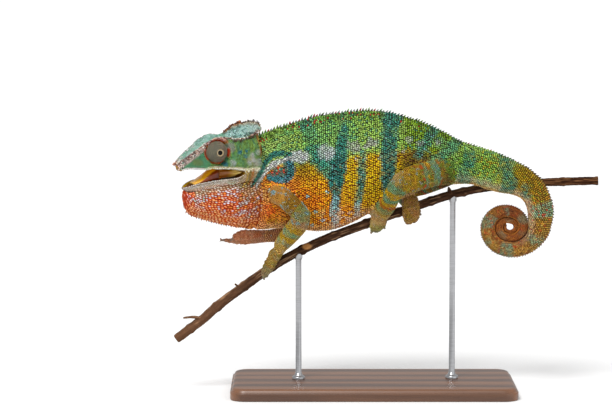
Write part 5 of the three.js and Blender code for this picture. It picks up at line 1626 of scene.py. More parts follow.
# %% Spikes of the back, the throat and the belly, and the long scales below the back's spikes
def back_crest():
    pick = default_rng(61)
    station = np.concatenate([trunk_s, s_fine[1:]])
    top = body_section(station, 1, 3)[:, 0]
    way = running(norm(np.diff(top, axis=0), axis=1))
    root, end = np.interp([TAIL_ROOT + 16.0, TAIL_ROOT + 118.0], station, way)
    spots = [4.5]
    while spots[-1] < end:
        step = np.interp(spots[-1], [0, 140, root, end], [2.15, 1.9, 1.25, 1.2])
        spots.append(spots[-1] + step * pick.uniform(0.9, 1.1))
    spots = np.array(spots[:-1])
    p, further = (np.stack([np.interp(spots + step, way, top[:, k]) for k in range(3)], 1) for step in (0, 0.5))
    high = np.interp(spots, [0, 70, 150, root, end], [3.0, 2.7, 1.6, 1.15, 0.95])
    high *= pick.uniform(0.6, 1.12, len(p))
    thick = np.interp(spots, [0, 150, root, end], [0.84, 0.7, 0.56, 0.5])
    roots = line_scales(p, unit(further - p), np.stack([thick * 1.15, thick, high], 1), 0.35)
    roots["facing"] = unit(roots["facing"] * [1, 0.2, 1])
    mark, x = pick.random(len(roots["tint"])), roots["laid"][:, 0]
    red = mark < 0.05 + 0.3 * ramp(60, 20, x)
    return marked(roots, (((mark > 0.72) | (x > 128)) & ~red, 0.3), (red, "b8281a"),
                  ((mark > 0.52) & (mark < 0.72) & (x < 70), "c4d0c4"))


def crest_skirt(side, seed):
    """Upright long scales just below the spikes."""
    pick = default_rng(seed)
    curve = body_section(np.interp(np.arange(4, trunk_length[-1], 1.12), trunk_length, trunk_s), side)
    step = [running(norm(np.diff(line, axis=0), axis=1)) for line in curve]
    p = []
    for level in (1.4, 3.4, 5.3):
        down = level + pick.normal(0, 0.25, len(curve))
        p += [[np.interp(d, step[i], curve[i, :, k]) for k in range(3)] for i, d in enumerate(down)]
    roots = line_scales(p, np.tile(AHEAD, (len(p), 1)), sized([0.46, 1.05, 0.42], len(p), pick, 0.8, 1.2))
    mark = pick.random(len(roots["tint"]))
    red = mark < 0.01 + 0.1 * ramp(60, 10, roots["laid"][:, 0])
    return marked(roots, ((mark > 0.66) & ~red, 0.5), (red, "a83220"))


def throat_crest():
    pick = default_rng(64)
    xs = np.arange(-84.6, -36, 1.75)
    p = np.stack([xs, 0 * xs, gular_at(xs)[:, 0] + SCALE_DEPTH], 1)
    high = np.interp(xs, [-85, -70, -36], [1.5, 1.6, 1.0]) * np.where(np.arange(len(xs)) % 2, 1.0, 0.7)
    size = np.stack([0 * xs + 0.6, 0 * xs + 0.5, high * pick.uniform(0.85, 1.1, len(xs))], 1)
    roots = line_scales(p, unit(np.gradient(p, axis=0)), size, 0.3)
    orange = pick.random(len(roots["tint"])) < 0.5
    return marked(roots, (orange, "d0764c"), (~orange, "b9b2b8"))


def belly_crest():
    """Small pale cones along the keel of the belly."""
    pick = default_rng(65)
    p = body_section(np.interp(np.arange(2, 62, 1.25), trunk_length, trunk_s), 1, 3)[:, -1]
    roots = line_scales(p, unit(np.gradient(p, axis=0)), sized([0.55, 0.5, 0.9], len(p), pick, 0.7, 1.2), 0.3)
    roots["tint"] = mottled(len(roots["tint"]), "e0a478 d8844c e8c4a4", pick)
    return roots


# %% Tubercles on the ridges, and the lips' plates
def tubercles(p, size, split_x, front_codes, back_codes, pick):
    """A row of blunt scales, in other colours in front of split_x than behind it."""
    roots = line_scales(p, np.gradient(p, axis=0), size)
    count = len(roots["tint"])
    front, back = mottled(count, front_codes, pick), mottled(count, back_codes, pick)
    roots["tint"] = np.where(roots["laid"][:, :1] < split_x, front, back)
    return roots


def head_rows():
    sets = []
    for side in (-1, 1):
        pick = default_rng(70 + side)
        for drop, inward, spacing, girth, high, start, end in ((0.0, 0.0, 1.15, 0.6, 0.62, -90.5, -31.5),
                                                               (1.1, -0.1, 1.2, 0.58, 0.5, -89.0, -69),
                                                               (2.1, -0.2, 1.25, 0.55, 0.42, -86.0, -69)):
            xs = np.arange(start, end, spacing)
            xs = xs + pick.normal(0, 0.08, len(xs))
            crest, crest_z = skull_at(xs)[:, 1:3].T
            p = np.stack([xs, side * (crest - inward), crest_z - 0.3 - drop], 1)
            sets.append(tubercles(p, sized([girth, girth, high], len(p), pick, 0.8, 1.25), -66,
                                  "ecdcd2 b89a8e 86665c d8b09c f0e8e0 a08c88",
                                  "ece6de b4988a 5a342c d8b49e e6ded4 7c4c3c", pick))
        xs = np.arange(-90.6, -45.5, 1.3)
        lip, lip_z = skull_at(xs)[:, 4:6].T
        p = np.stack([xs, side * (lip + 0.3), lip_z - 1.9 * near(xs + 62, 9.5) + 0.75], 1)
        sets.append(line_scales(p, np.gradient(p, axis=0), sized([0.62, 0.52, 0.3], len(p)), names=["head"]))
        xs = np.arange(-84.6, -46, 1.25)
        jaw_lip, jaw_z = jaw_at(xs)[:, :2].T
        p = np.stack([xs, side * (jaw_lip + 0.3), jaw_z - 0.75], 1)
        sets.append(line_scales(p, np.gradient(p, axis=0), sized([0.6, 0.5, 0.3], len(p)), names=["lower_jaw"]))
    xs = np.arange(-57, -31.5, 1.05)
    p = np.stack([xs, 0 * xs, skull_at(xs)[:, 0] + 0.3], 1)
    pick = default_rng(72)
    sets.append(tubercles(p, sized([0.6, 0.62, 0.8], len(p), pick, 0.7, 1.3), -44,
                          "b4683c 6a3020 cc9064 8c4428", "ece8e0 6c5850 b4aaa0 d8d0c8", pick))
    tips = np.array([  # at the snout's tip: x, y, z, length, width, height
        [-91.5, 0, 154.6, 0.8, 0.8, 1.9], [-91.0, -0.9, 155.2, 0.7, 0.7, 1.5],
        [-91.0, 0.9, 155.2, 0.7, 0.7, 1.5], [-90.2, -1.7, 154.4, 0.65, 0.65, 0.8],
        [-90.2, 1.7, 154.4, 0.65, 0.65, 0.8], [-90.0, 0, 156.1, 0.65, 0.65, 0.8],
        [-89.6, -1.2, 150.4, 0.7, 0.6, 0.7], [-89.6, 1.2, 150.4, 0.7, 0.6, 0.7]])
    roots = line_scales(tips[:, :3], np.tile([0, 1.0, 0.2], (len(tips), 1)), tips[:, 3:])
    roots["tint"] = mottled(len(roots["tint"]), "c88c6c a87058 d8a88c", pick)
    return joined(*sets, roots)


spikes = joined(back_crest(), throat_crest(), belly_crest())
skirts = joined(crest_skirt(-1, 62), crest_skirt(1, 63))
ridges = head_rows()


# %% Clear the small scales away from the special ones
def cleared(roots, *others):
    """Drops the scales that stand within some room of a special scale."""
    for special, room in others:
        taken = kd_of(special["laid"])
        roots = chosen(roots, np.array([taken.find(q)[2] for q in roots["laid"].tolist()]) > room)
    return roots


both_flanks = joined(*flanks.values())
face_scales = cleared(face_scales, (ridges, 0.7), (both_flanks, 0.85))
jaw_scales = cleared(jaw_scales, (ridges, 0.7), (both_flanks, 0.85))
throat = cleared(throat, (both_flanks, 1.0), (spikes, 0.6))
flanks = {key: cleared(r, (skirts, 0.75), (spikes, 0.6)) for key, r in flanks.items()}
print("spikes:", len(spikes["place"]), " long crest scales:", len(skirts["place"]),
      " ridge and lip scales:", len(ridges["place"]))
# %% [markdown]
# ## Finishes of the animal
# Living scale is keratin over pigment: the colour is deep and even, and the surface is smooth with a
# soft shine. Each bead's colour carries painted shade at its foot, where it sinks into the skin, and
# a painted highlight on its crown. The bare skin between is duller and finely wrinkled. Both read
# their colours from the mesh.

# %% One function for a finish, and how a pattern shades a colour
def tinted(tree, colour, low, high, factor):
    """A colour made darker or lighter by a factor that runs between two numbers."""
    span = add(tree, "ShaderNodeMapRange", None, Value=factor, To_Min=low, To_Max=high).outputs[0]
    return add(tree, "ShaderNodeVectorMath", {"operation": "SCALE"}, _0=colour, Scale=span).outputs[0]


def finish(name, roughness, colour, noise, shade=None, bump=None, stretch=None, **sockets):
    """A material, its nodes and its shader.

    colour: the colours' name on the mesh, or two hex values that the pattern mixes
    noise: width of the pattern's features in mm, and its detail; stretch: its scale on each axis
    shade: how dark and how light the pattern makes the colour; bump: strength, and depth in mm
    """
    material = bpy.data.materials.new(name)
    material.use_nodes = True
    tree, shader = material.node_tree, material.node_tree.nodes["Principled BSDF"]
    for key, value in dict(sockets, Roughness=roughness).items():
        shader.inputs[key.replace("_", " ")].default_value = value
    place = add(tree, "ShaderNodeTexCoord").outputs["Object"]
    if stretch:
        place = add(tree, "ShaderNodeMapping", None, Vector=place, Scale=stretch).outputs[0]
    width, detail = noise
    pattern = add(tree, "ShaderNodeTexNoise", None, Vector=place, Scale=1 / (width * MM), Detail=detail)
    pattern = pattern.outputs["Fac"]
    if isinstance(colour, str):
        base = add(tree, "ShaderNodeAttribute", {"attribute_name": colour}).outputs["Color"]
    else:
        a, b = ((*linear(code), 1) for code in colour)
        base = add(tree, "ShaderNodeMix", {"data_type": "RGBA"}, Factor=pattern, _6=a, _7=b).outputs[2]
    if shade:
        base = tinted(tree, base, *shade, pattern)
    tree.links.new(base, shader.inputs["Base Color"])
    if bump:
        relief = add(tree, "ShaderNodeBump", None, Strength=bump[0], Distance=bump[1] * MM, Height=pattern)
        tree.links.new(relief.outputs["Normal"], shader.inputs["Normal"])
    return material, tree, shader


print("textures are set in millimetres:", 1 / MM, "to the metre")

# %% Keratin scales: painted shade at the foot, a painted highlight on the crown, a soft shine and pores 0.16 mm apart
scale_finish, tree, shader = finish("keratin scale", 0.42, "tint", (0.9, 3.0), (0.86, 1.14), IOR=1.54,
                                    Specular_IOR_Level=0.14)
lift = add(tree, "ShaderNodeAttribute", {"attribute_name": "lift"}).outputs["Fac"]
mottled_tint = shader.inputs["Base Color"].links[0].from_socket
# painted shade and painted highlight: the colour runs from 0.16 times at each bead's foot to 1.42 times at its
# crown
tree.links.new(tinted(tree, mottled_tint, 0.16, 1.42, lift), shader.inputs["Base Color"])
place = tree.nodes["Texture Coordinate"].outputs["Object"]
pores = add(tree, "ShaderNodeTexNoise", None, Vector=place, Scale=1 / (0.16 * MM), Detail=2.0)
relief = add(tree, "ShaderNodeBump", None, Strength=0.25, Distance=0.05 * MM, Height=pores.outputs["Fac"])
tree.links.new(relief.outputs["Normal"], shader.inputs["Normal"])
print("keratin scale:", len(tree.nodes), "nodes")

# %% Bare hide: dull and wrinkled 0.45 mm apart, but wet inside the mouth
hide_finish, tree, shader = finish("bare hide", 0.7, "hide", (1.4, 4.0), (0.45, 0.85), IOR=1.45,
                                   Specular_IOR_Level=0.12)
moist = add(tree, "ShaderNodeAttribute", {"attribute_name": "moist"})
wet = add(tree, "ShaderNodeMapRange", None, Value=moist.outputs["Fac"], To_Min=0.62, To_Max=0.24)
tree.links.new(wet.outputs[0], shader.inputs["Roughness"])
place = tree.nodes["Texture Coordinate"].outputs["Object"]
grit = add(tree, "ShaderNodeTexVoronoi", None, Vector=place, Scale=1 / (0.45 * MM))
relief = add(tree, "ShaderNodeBump", None, Strength=0.35, Distance=0.12 * MM, Height=grit.outputs["Distance"])
tree.links.new(relief.outputs["Normal"], shader.inputs["Normal"])
print("bare hide:", len(tree.nodes), "nodes")

# %% Horn, eyelid, eyeball and mouth: streaked, matt, glossy and moist
claw_finish = finish("dark horn claw", 0.3, ("5a4434", "9c8268"), (0.5, 3.0), None, (0.2, 0.05), IOR=1.55,
                     Coat_Weight=0.2)[0]
turret_finish = finish("eyelid hide", 0.55, "hide", (0.8, 3.0), (0.75, 1.25), (0.3, 0.1), IOR=1.45)[0]
ball_finish = finish("wet eyeball", 0.12, "hide", (0.3, 2.0), (0.8, 1.2), IOR=1.38, Specular_IOR_Level=0.2)[0]
mouth_finish = finish("moist mouth lining", 0.25, "hide", (1.1, 4.0), (0.7, 1.2), (0.4, 0.2), IOR=1.4,
                      Coat_Weight=0.3, Coat_Roughness=0.1)[0]
print("finishes of the animal:", 6)


# %% The skin as one piece
def metres(p):
    return (np.asarray(p, float) + SHIFT) * MM


def give(mesh, name, kind, values):
    """An attribute on a mesh's points; colours get an alpha of 1."""
    values = np.asarray(values, np.float32)
    if kind == "FLOAT_COLOR":
        values = np.column_stack([values, np.ones(len(values), np.float32)])
    layer = mesh.attributes.new(name, kind, "POINT")
    field = {"FLOAT": "value", "FLOAT_VECTOR": "vector", "FLOAT_COLOR": "color"}[kind]
    layer.data.foreach_set(field, np.ascontiguousarray(values, np.float32).ravel())


def ready(piece, slot, *replaces):
    """Says what a piece rides on and hides the solids that it stands for; slot is not used."""
    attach(piece, "root")
    if replaces:
        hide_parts(*replaces)
    return piece


def make_piece(name, points, faces, slot, material, *replaces, colour=None, sharp=None):
    """A smooth piece from points in millimetres, with its colours and its sharp edges' angle."""
    mesh = new_mesh(name, metres(points), faces)
    mesh.shade_smooth()
    if sharp:
        mesh.set_sharp_from_angle(angle=math.radians(sharp))
    mesh.materials.append(material)
    if colour is not None:
        give(mesh, "hide", "FLOAT_COLOR", np.clip(colour, 0, 1))
    print(name, "has", len(mesh.polygons), "faces")
    return ready(new_object(name, mesh), slot, *replaces)


# outside the mouth the skin takes the gap colours: partly its own darker colour, partly painted shade between
# the scales
hide_colour = np.where(in_mouth[:, None], skin_colour[:, :3], skin_colour[:, 3:])
def layered(shade, *layers):
    """A colour with others over it, each as strong as its share."""
    for code, share in layers:
        shade = blend(shade, linear(code), share)
    return shade


skin = make_piece("chameleon_skin", posed, tris, "trunk_skin", hide_finish, *FLESH, colour=hide_colour)
give(skin.data, "moist", "FLOAT", in_mouth)

# %% [markdown]
# ## Growing the scale coat
# One Geometry Nodes tree grows every scale: it puts a shaped bead on each place, turns it to stand
# on the skin and point along its row, and sizes it. The bead is a closed dome of 22 triangles, or
# of 34 on the flanks, where it shows most, and the spike is a closed, bent cone. The scales become
# real mesh, and each gets a small patch of the coat's map at its root's place on an unwrap of the
# skin.

# %% Bead and spike
def stacked(name, rings, sides=6):
    """A closed shape from rings of radius, height and shift, each turned by half a step, to a point."""
    points, faces, lift = [], [], []
    top = rings[-1]
    for row, (radius, height, shift) in enumerate(rings[:-1]):
        for k in range(sides):
            a = math.tau * (k + 0.5 * (row % 2)) / sides
            points.append([radius * math.cos(a) + shift, radius * math.sin(a), height])
            lift.append((max(height, 0) / top[1]) ** 2.1)
    points.append([top[2], 0, top[1]])
    for row in range(len(rings) - 2):
        for k in range(sides):
            a, b = row * sides + k, row * sides + (k + 1) % sides
            c, d = a + sides, b + sides
            faces += [[a, b, d], [a, d, c]] if row % 2 else [[a, b, c], [b, d, c]]
    last = (len(rings) - 2) * sides
    faces += [[last + k, last + (k + 1) % sides, len(points) - 1] for k in range(sides)]
    faces += [[0, k + 1, k] for k in range(1, sides - 1)]
    mesh = new_mesh(name, points, faces)
    mesh.shade_smooth()
    # lift is the height on the shape, sharpened; the keratin finish turns it into painted shade at the foot and
    # a painted highlight at the crown
    give(mesh, "lift", "FLOAT", lift + [1.0])
    give(mesh, "patch", "FLOAT_VECTOR", np.clip(np.array(points) * [1, 1, 0], -1, 1))
    return new_object(name, mesh)


bead = stacked("bead", [(1.0, -0.5, 0), (0.76, 0.64, 0), (0, 1.0, 0)])
round_bead = stacked("round_bead", [(1.0, -0.5, 0), (0.92, 0.35, 0), (0.52, 0.86, 0), (0, 1.0, 0)])
spike = stacked("spike", [(1.0, -0.3, 0), (0.62, 0.42, 0.12), (0, 1.0, 0.55)])
print("triangles of the shapes:", [len(thing.data.polygons) for thing in (bead, round_bead, spike)])

# %% The tree that plants them
coat_tree = new_tree("scale coat", [("Shape", "NodeSocketObject", None), ("Width", "NodeSocketFloat", 1.0),
                                    ("Height", "NodeSocketFloat", 1.0), ("Finish", "NodeSocketMaterial", None)])
source = coat_tree.nodes.new("NodeGroupInput").outputs
facing, along, size = (
    add(coat_tree, "GeometryNodeInputNamedAttribute", {"data_type": "FLOAT_VECTOR"}, Name=name).outputs[0]
    for name in ("facing", "along", "size"))
shape_info = add(coat_tree, "GeometryNodeObjectInfo", None, Object=source["Shape"])
shares = add(coat_tree, "ShaderNodeCombineXYZ", None, X=source["Width"], Y=source["Width"], Z=source["Height"])
grown_size = add(coat_tree, "ShaderNodeVectorMath", {"operation": "MULTIPLY"}, _0=size, _1=shares.outputs[0])
turn = add(coat_tree, "FunctionNodeAxesToRotation", {"primary_axis": "Z", "secondary_axis": "X"},
           _0=facing, _1=along)
planted = add(coat_tree, "GeometryNodeInstanceOnPoints", None, Points=source["Geometry"],
              Instance=shape_info.outputs["Geometry"], Rotation=turn.outputs[0], Scale=grown_size.outputs[0])
real = add(coat_tree, "GeometryNodeRealizeInstances", None, Geometry=planted.outputs[0])
dressed = add(coat_tree, "GeometryNodeSetMaterial", None, Geometry=real.outputs[0], Material=source["Finish"])
add(coat_tree, "NodeGroupOutput", None, Geometry=dressed.outputs[0])
PATCH = 0.0015  # half width of each scale's patch on the coat's map


print("nodes that plant:", len(coat_tree.nodes))


# %% Maps of the coat, and one piece of it
def unwrapped(sets, centre_z=None):
    """Map places from how far along and how far round each root lies, one strip for each set."""
    out = []
    for strip, roots in enumerate(sets):
        q = roots["laid"]
        long_axis = np.ptp(q, axis=0).argmax()
        a, b = [axis for axis in range(3) if axis != long_axis]
        middle = np.median(q, axis=0)
        u = (q[:, long_axis] - q[:, long_axis].min()) / max(np.ptp(q[:, long_axis]), 1e-6)
        v = np.arctan2(q[:, a] - middle[a], q[:, b] - (centre_z or middle[b])) / math.tau + 0.5
        out.append(np.column_stack([0.01 + 0.98 * u, (strip + 0.02 + 0.96 * v) / len(sets)]))
    return np.vstack(out)


def body_map(roots, side_strips=False):
    """Along and round the body: the station's length, and the section's own angle."""
    places = roots["laid"]
    along = split_tail(places)[0]
    along = np.where(along > 0, along + 140, places[:, 0] + 38)
    v = on_section(places)[1] / math.pi
    if side_strips:
        v = (v + (places[:, 1] > -4 * (along > 140))) / 2
    return 0.01 + 0.98 * np.column_stack([(along - along.min()) / np.ptp(along), v])


def grow_coat(name, roots, slot, shape, uv, tone_and_glints=0.1):
    """Plants a set of scales and makes the piece."""
    count = len(roots["place"])
    pick = default_rng(count)
    mesh = new_mesh(name + "_roots", metres(roots["place"]), [])
    # each scale a little lighter or darker at random: partly its own tone, and partly painted glints where
    # scales come out lighter
    shade = 1 + tone_and_glints * pick.normal(0, 1, (count, 1)) + 0.04 * pick.normal(0, 1, (count, 3))
    give(mesh, "tint", "FLOAT_COLOR", np.clip(roots["tint"] * shade, 0.004, 0.95))
    vectors = {"facing": roots["facing"], "along": roots["along"], "size": roots["size"] * MM,
               "root": np.column_stack([uv, np.zeros(count)])}
    for key, value in vectors.items():
        give(mesh, key, "FLOAT_VECTOR", value)
    grown = run_tree(new_object(name, mesh), coat_tree, {"Shape": shape, "Finish": scale_finish}, name)
    where = np.zeros((len(grown.vertices), 3), np.float32)
    for key, share in (("root", 1.0), ("patch", PATCH)):
        values = np.zeros(where.size, np.float32)
        grown.attributes[key].data.foreach_get("vector", values)
        where += share * values.reshape(-1, 3)
    corner = np.zeros(len(grown.loops), np.int64)
    grown.loops.foreach_get("vertex_index", corner)
    grown.uv_layers.new(name="OFBake").data.foreach_set("uv", where[corner, :2].astype(np.float32).ravel())
    for extra in ("patch", *vectors):
        if extra in grown.attributes:
            grown.attributes.remove(grown.attributes[extra])
    print(f"{name}: {count} scales, {len(grown.polygons)} triangles")
    return ready(new_object(name, grown), slot)


# %% Plant every row
for side, roots in flanks.items():
    grow_coat("scales_flank_" + side, roots, "trunk_skin", round_bead, body_map(roots), 0.14)
grow_coat("scales_tail", tail_front, "coil_skin", bead, body_map(tail_front, True), 0.2)
grow_coat("scales_coil", tail_coil, "coil_skin", bead, body_map(tail_coil, True), 0.24)
for name, sets, slot, shape, centre_z, tone_and_glints in (
        ("face", [face_scales], "casque_skin", bead, 162.0, 0.1),
        ("jaw", [jaw_scales], "lip_skin", bead, 142.0, 0.1),
        ("throat", [throat], "throat_skin", bead, 128.0, 0.14), ("legs", legs, "leg_skin", bead, None, 0.1),
        ("feet", feet, "leg_skin", bead, None, 0.1), ("ridges", [skirts, ridges], "nape_skin", bead, None, 0.1),
        ("crests", [spikes], "nape_skin", spike, None, 0.1)):
    grow_coat("scales_" + name, joined(*sets), slot, shape, unwrapped(sets, centre_z), tone_and_glints)

# %% [markdown]
# ## Turret eyes
# A chameleon's eyelids are grown together into a cone that turns with the eyeball and leaves only
# a small round window. The lid is ringed by fine folds set with tiny granules. The turret is a
# turned profile with those folds in it; the ball inside is glossy and dark with a pale iris ring.

# %% Turned shapes on the eye's axis
BALL_RADIUS = 2.9
RIM_ANGLE = math.asin(2.45 / EYE["radius"])
TIP = EYE["centre"] + EYE["radius"] * math.cos(RIM_ANGLE)


def tube_faces(rows, sides, flip=False, hubs=False):
    """Faces round rings of points, closed by flat ends, or by fans to two hub points that come last."""
    steps = [(k, (k + 1) % sides) for k in range(sides)]
    faces = [[r * sides + a, r * sides + b, (r + 1) * sides + b, (r + 1) * sides + a]
             for r in range(rows - 1) for a, b in steps]
    last, hub = (rows - 1) * sides, rows * sides
    if hubs:
        faces += [[hub, b, a] for a, b in steps] + [[hub + 1, last + a, last + b] for a, b in steps]
    else:
        faces += [list(range(sides))[::-1], list(range(last, hub))]
    return [face[::-1] for face in faces] if flip else faces


def turned(profile, side, sides):
    """Rings round the eye's axis from rows of radius and distance from the head's middle."""
    turns = np.linspace(0, math.tau, sides, endpoint=False)
    points = [[EYE["x"] + r * math.cos(a), side * y, EYE["z"] + r * math.sin(a)]
              for r, y in profile for a in turns]
    return np.array(points), tube_faces(len(profile), sides, flip=side > 0)


def eye_reach(p):
    return np.hypot(p[:, 0] - EYE["x"], p[:, 2] - EYE["z"])


turret_profile = [(EYE["radius"] * 0.8 * TURRET_GIRTH, 3.8)]
for angle in np.linspace(2.1, RIM_ANGLE, 56):
    radius = EYE["radius"] - 0.22 + 0.10 * math.sin(angle * EYE["radius"] * math.tau / 0.86)
    turret_profile.append((radius * math.sin(angle) * TURRET_GIRTH, EYE["centre"] + radius * math.cos(angle)))
turret_profile += [(2.5, TIP), (2.42, TIP + 0.14), (2.28, TIP + 0.18), (2.14, TIP + 0.08), (2.06, TIP - 0.12),
                   (2.1, TIP - 0.9)]
ball_profile = [(BALL_RADIUS * math.sin(a), TIP + 0.42 - BALL_RADIUS + BALL_RADIUS * math.cos(a))
                for a in np.linspace(1.9, 0.02, 40)]

print("the lid's window is", round(2 * turret_profile[-2][0], 1), "mm across")

# %% Both eyes, with a red ring at the lid's foot and a cream ring in the iris
for side, eye in zip((-1, 1), EYES):
    points, faces = turned(turret_profile, side, 64)
    shade = linear("473c32") * (1 + 0.3 * grain(points, 1.6, 41))[:, None]
    shade[(np.abs(points[:, 1]) > TIP - 0.25) & (eye_reach(points) < 2.34)] = linear("a8906c")
    shade = layered(shade, ("a8402c", 0.8 * ramp(10.2, 7.2, np.abs(points[:, 1]))))
    make_piece("turret_" + eye[4:], to_pose(points), faces, "eye_turret", turret_finish, eye, colour=shade)
    points, faces = turned(ball_profile, side, 48)
    reach = eye_reach(points)[:, None]
    shade = np.where(reach > 1.72, linear("f4e4bc"), linear("0a0706"))
    shade = np.where(reach >= 2.2, linear("5a3a22"), shade)
    make_piece("eyeball_" + eye[4:], to_pose(points), faces, "eye_turret", ball_finish, colour=shade)


# %% Granules in rings round the lid
RING_STEP = 0.108  # radians between rings


def lid_granules(side):
    places, ways, sizes, odd = [], [], [], []
    pick = default_rng(80 + side)
    for k, angle in enumerate(np.arange(RIM_ANGLE + 0.1, 1.78, RING_STEP)):
        count = max(12, int(math.tau * (EYE["radius"] - 0.16) * math.sin(angle) / 0.8))
        for j in range(count):
            a = math.tau * (j + 0.5 * (k % 2) + pick.normal(0, 0.06)) / count
            radial = math.sin(angle)
            out = np.array([radial * math.cos(a), side * math.cos(angle), radial * math.sin(a)])
            places.append([EYE["x"], side * EYE["centre"], EYE["z"]]
                          + (EYE["radius"] - 0.2) * out * [TURRET_GIRTH, 1, TURRET_GIRTH])
            ways.append([out, [-math.sin(a), 0, math.cos(a)]])
            sizes.append(np.array([0.37, 0.33, 0.2]) * pick.uniform(0.85, 1.1))
            odd.append(k % 2)
    p, ways = np.array(places), np.array(ways)
    here = to_pose(p)
    tint = linear("90846f") * (np.where(odd, 0.55, 1.28) * (1 + 0.3 * grain(p, 1.5, 42)))[:, None]
    tint = layered(tint, ("a65a44", 0.55 * ramp(10.6, 9.2, np.abs(p[:, 1]))),
                   ("7c8a70", (p[:, 0] < EYE["x"]) * 0.45 * (grain(p, 2.4, 43) > -0.3)))
    return {"laid": p, "place": here, "facing": unit(to_pose(p + 0.2 * ways[:, 0]) - here),
            "along": unit(to_pose(p + 0.2 * ways[:, 1]) - here), "size": np.array(sizes), "tint": tint}


lids = joined(lid_granules(-1), lid_granules(1))
lid_places = lids["laid"]
lid_map = np.column_stack([(lid_places[:, 0] - EYE["x"]) / 18 + 0.5,
                           (lid_places[:, 2] - EYE["z"]) / 36 + 0.25 + 0.5 * (lid_places[:, 1] > 0)])
grow_coat("scales_turrets", lids, "eye_turret", bead, lid_map, 0.2)

# %% [markdown]
# ## Mouth
# The open mouth shows the moist lining of its corner, bright yellow with soft folds, and the
# tongue lying on the floor with a yellow edge over a deep orange side. Painted shade darkens the
# lining in the troughs of its folds and towards its front, and the tongue further below its edge.
# Both are copies of the solids, remeshed fine and smoothed, then wrinkled.

# %% Lining and tongue
def soft_copy(node, rounds):
    points, faces = solid_of(node)
    points, faces = voxel_skin(node + "_soft", straighten_neck(points), faces, 0.5)
    return soften(points, rounds, 1.0, (0.5, -0.52), links_of(faces)), faces


points, faces = soft_copy("mouth_lining", 5)
fold = np.sin((points[:, 2] - 0.12 * points[:, 0]) * math.tau / 2.3 + 0.8 * grain(points, 3.0, 52))
points = points + normals_of(points, faces) * (0.14 * fold)[:, None]
points[:, 0] -= 2.2 * ramp(-53.0, -56.5, points[:, 0])
# painted shade: the lining darkens towards its front, into the mouth's cavity, and in the troughs of its folds
front = ramp(-51.0, -58.5, points[:, 0] + 1.5 * grain(points, 2.5, 53))
shade = layered(linear("f6c81e"), ("efdc86", ramp(-60, -48, points[:, 0])),
                ("a0680c", ramp(-0.2, -0.7, fold) * 0.5), ("7c3c0c", front * 0.95))
make_piece("mouth_corner_lining", to_pose(points), faces, "mouth_lining", mouth_finish, "mouth_lining",
           colour=shade)

points, faces = soft_copy("tongue", 6)
points = points + normals_of(points, faces) * (0.12 * grain(points, 1.6, 51))[:, None]
crown = np.interp(points[:, 0], [-79, -75, -71, -67, -63, -61], [142.6, 145, 148, 151, 153.2, 154])
# painted shade: the tongue's deep orange side darkens further below its crown, down into the mouth
shade = layered(linear("84360c"), ("5a1c06", ramp(2, 7, crown - points[:, 2])),
                ("f0b41c", ramp(2.2, 0.9, crown - points[:, 2]) * ramp(-62, -66, points[:, 0])))
make_piece("tongue_fleshy", to_pose(points), faces, "tongue", mouth_finish, "tongue", colour=shade)

# %% [markdown]
# ## Claws
# Each toe ends in a short curved claw of dark horn. A bundle of two toes has two, a bundle of three
# has three. Each claw is a bent, tapering tube of rings closed at its tip.

# %% A bent claw at each toe
def claw_points(base, ahead, inward, length=3.3, thick=0.86, rings=7, sides=8):
    side = unit(np.cross(ahead, inward))
    inward = np.cross(side, ahead)
    points = []
    for t in np.arange(rings) / rings:
        middle = base + ahead * length * t + inward * length * 0.42 * t * t
        girth = thick * (1 - t) ** 0.7
        for a in math.tau * np.arange(sides) / sides:
            points.append(middle + side * girth * 0.85 * math.cos(a) + inward * girth * 1.1 * math.sin(a))
    return np.array(points + [base, base + ahead * length + inward * length * 0.42])


def gathered(parts):
    """Several pairs of points and faces as one."""
    starts = running([len(points) for points, _ in parts])
    faces = [[i + int(start) for i in face] for start, (_, part) in zip(starts, parts) for face in part]
    return np.vstack([points for points, _ in parts]), faces


branch_line = fine_path(BRANCH, 400)[0]
claws = []
for node, toes, *rows in TOES.values():
    rows = np.array(rows)
    tip, wide = rows[-1, :3], rows[-1, 3]
    ahead = unit(tip - rows[-2, :3])
    if node == "hand_right":
        axis, inward = np.array([0, 1.0, 0]), np.array([0, 0, -1.0])
        offsets = [-0.9, 0.9]
    else:
        axis = branch_direction(rows[0][0])
        inward = branch_line[norm(branch_line - tip, axis=1).argmin()] - tip
        offsets = [(k - (toes - 1) / 2) * 1.4 * wide for k in range(toes)]
    claws += [(claw_points(tip + axis * offset - ahead * 0.5, ahead, inward), tube_faces(7, 8, hubs=True))
              for offset in offsets]
make_piece("claws", *gathered(claws), "leg_skin", claw_finish)

# %% [markdown]
# ## The branch
# The perch is a cut twig of a woody shrub: thin dark bark, ridged lengthwise, with swollen nodes,
# lighter streaks where the bark has worn, one tan scar, a side twig and a bud. Its cut ends show
# pale wood. The bark is a tube round the solid's own path, with the ridges in its mesh.

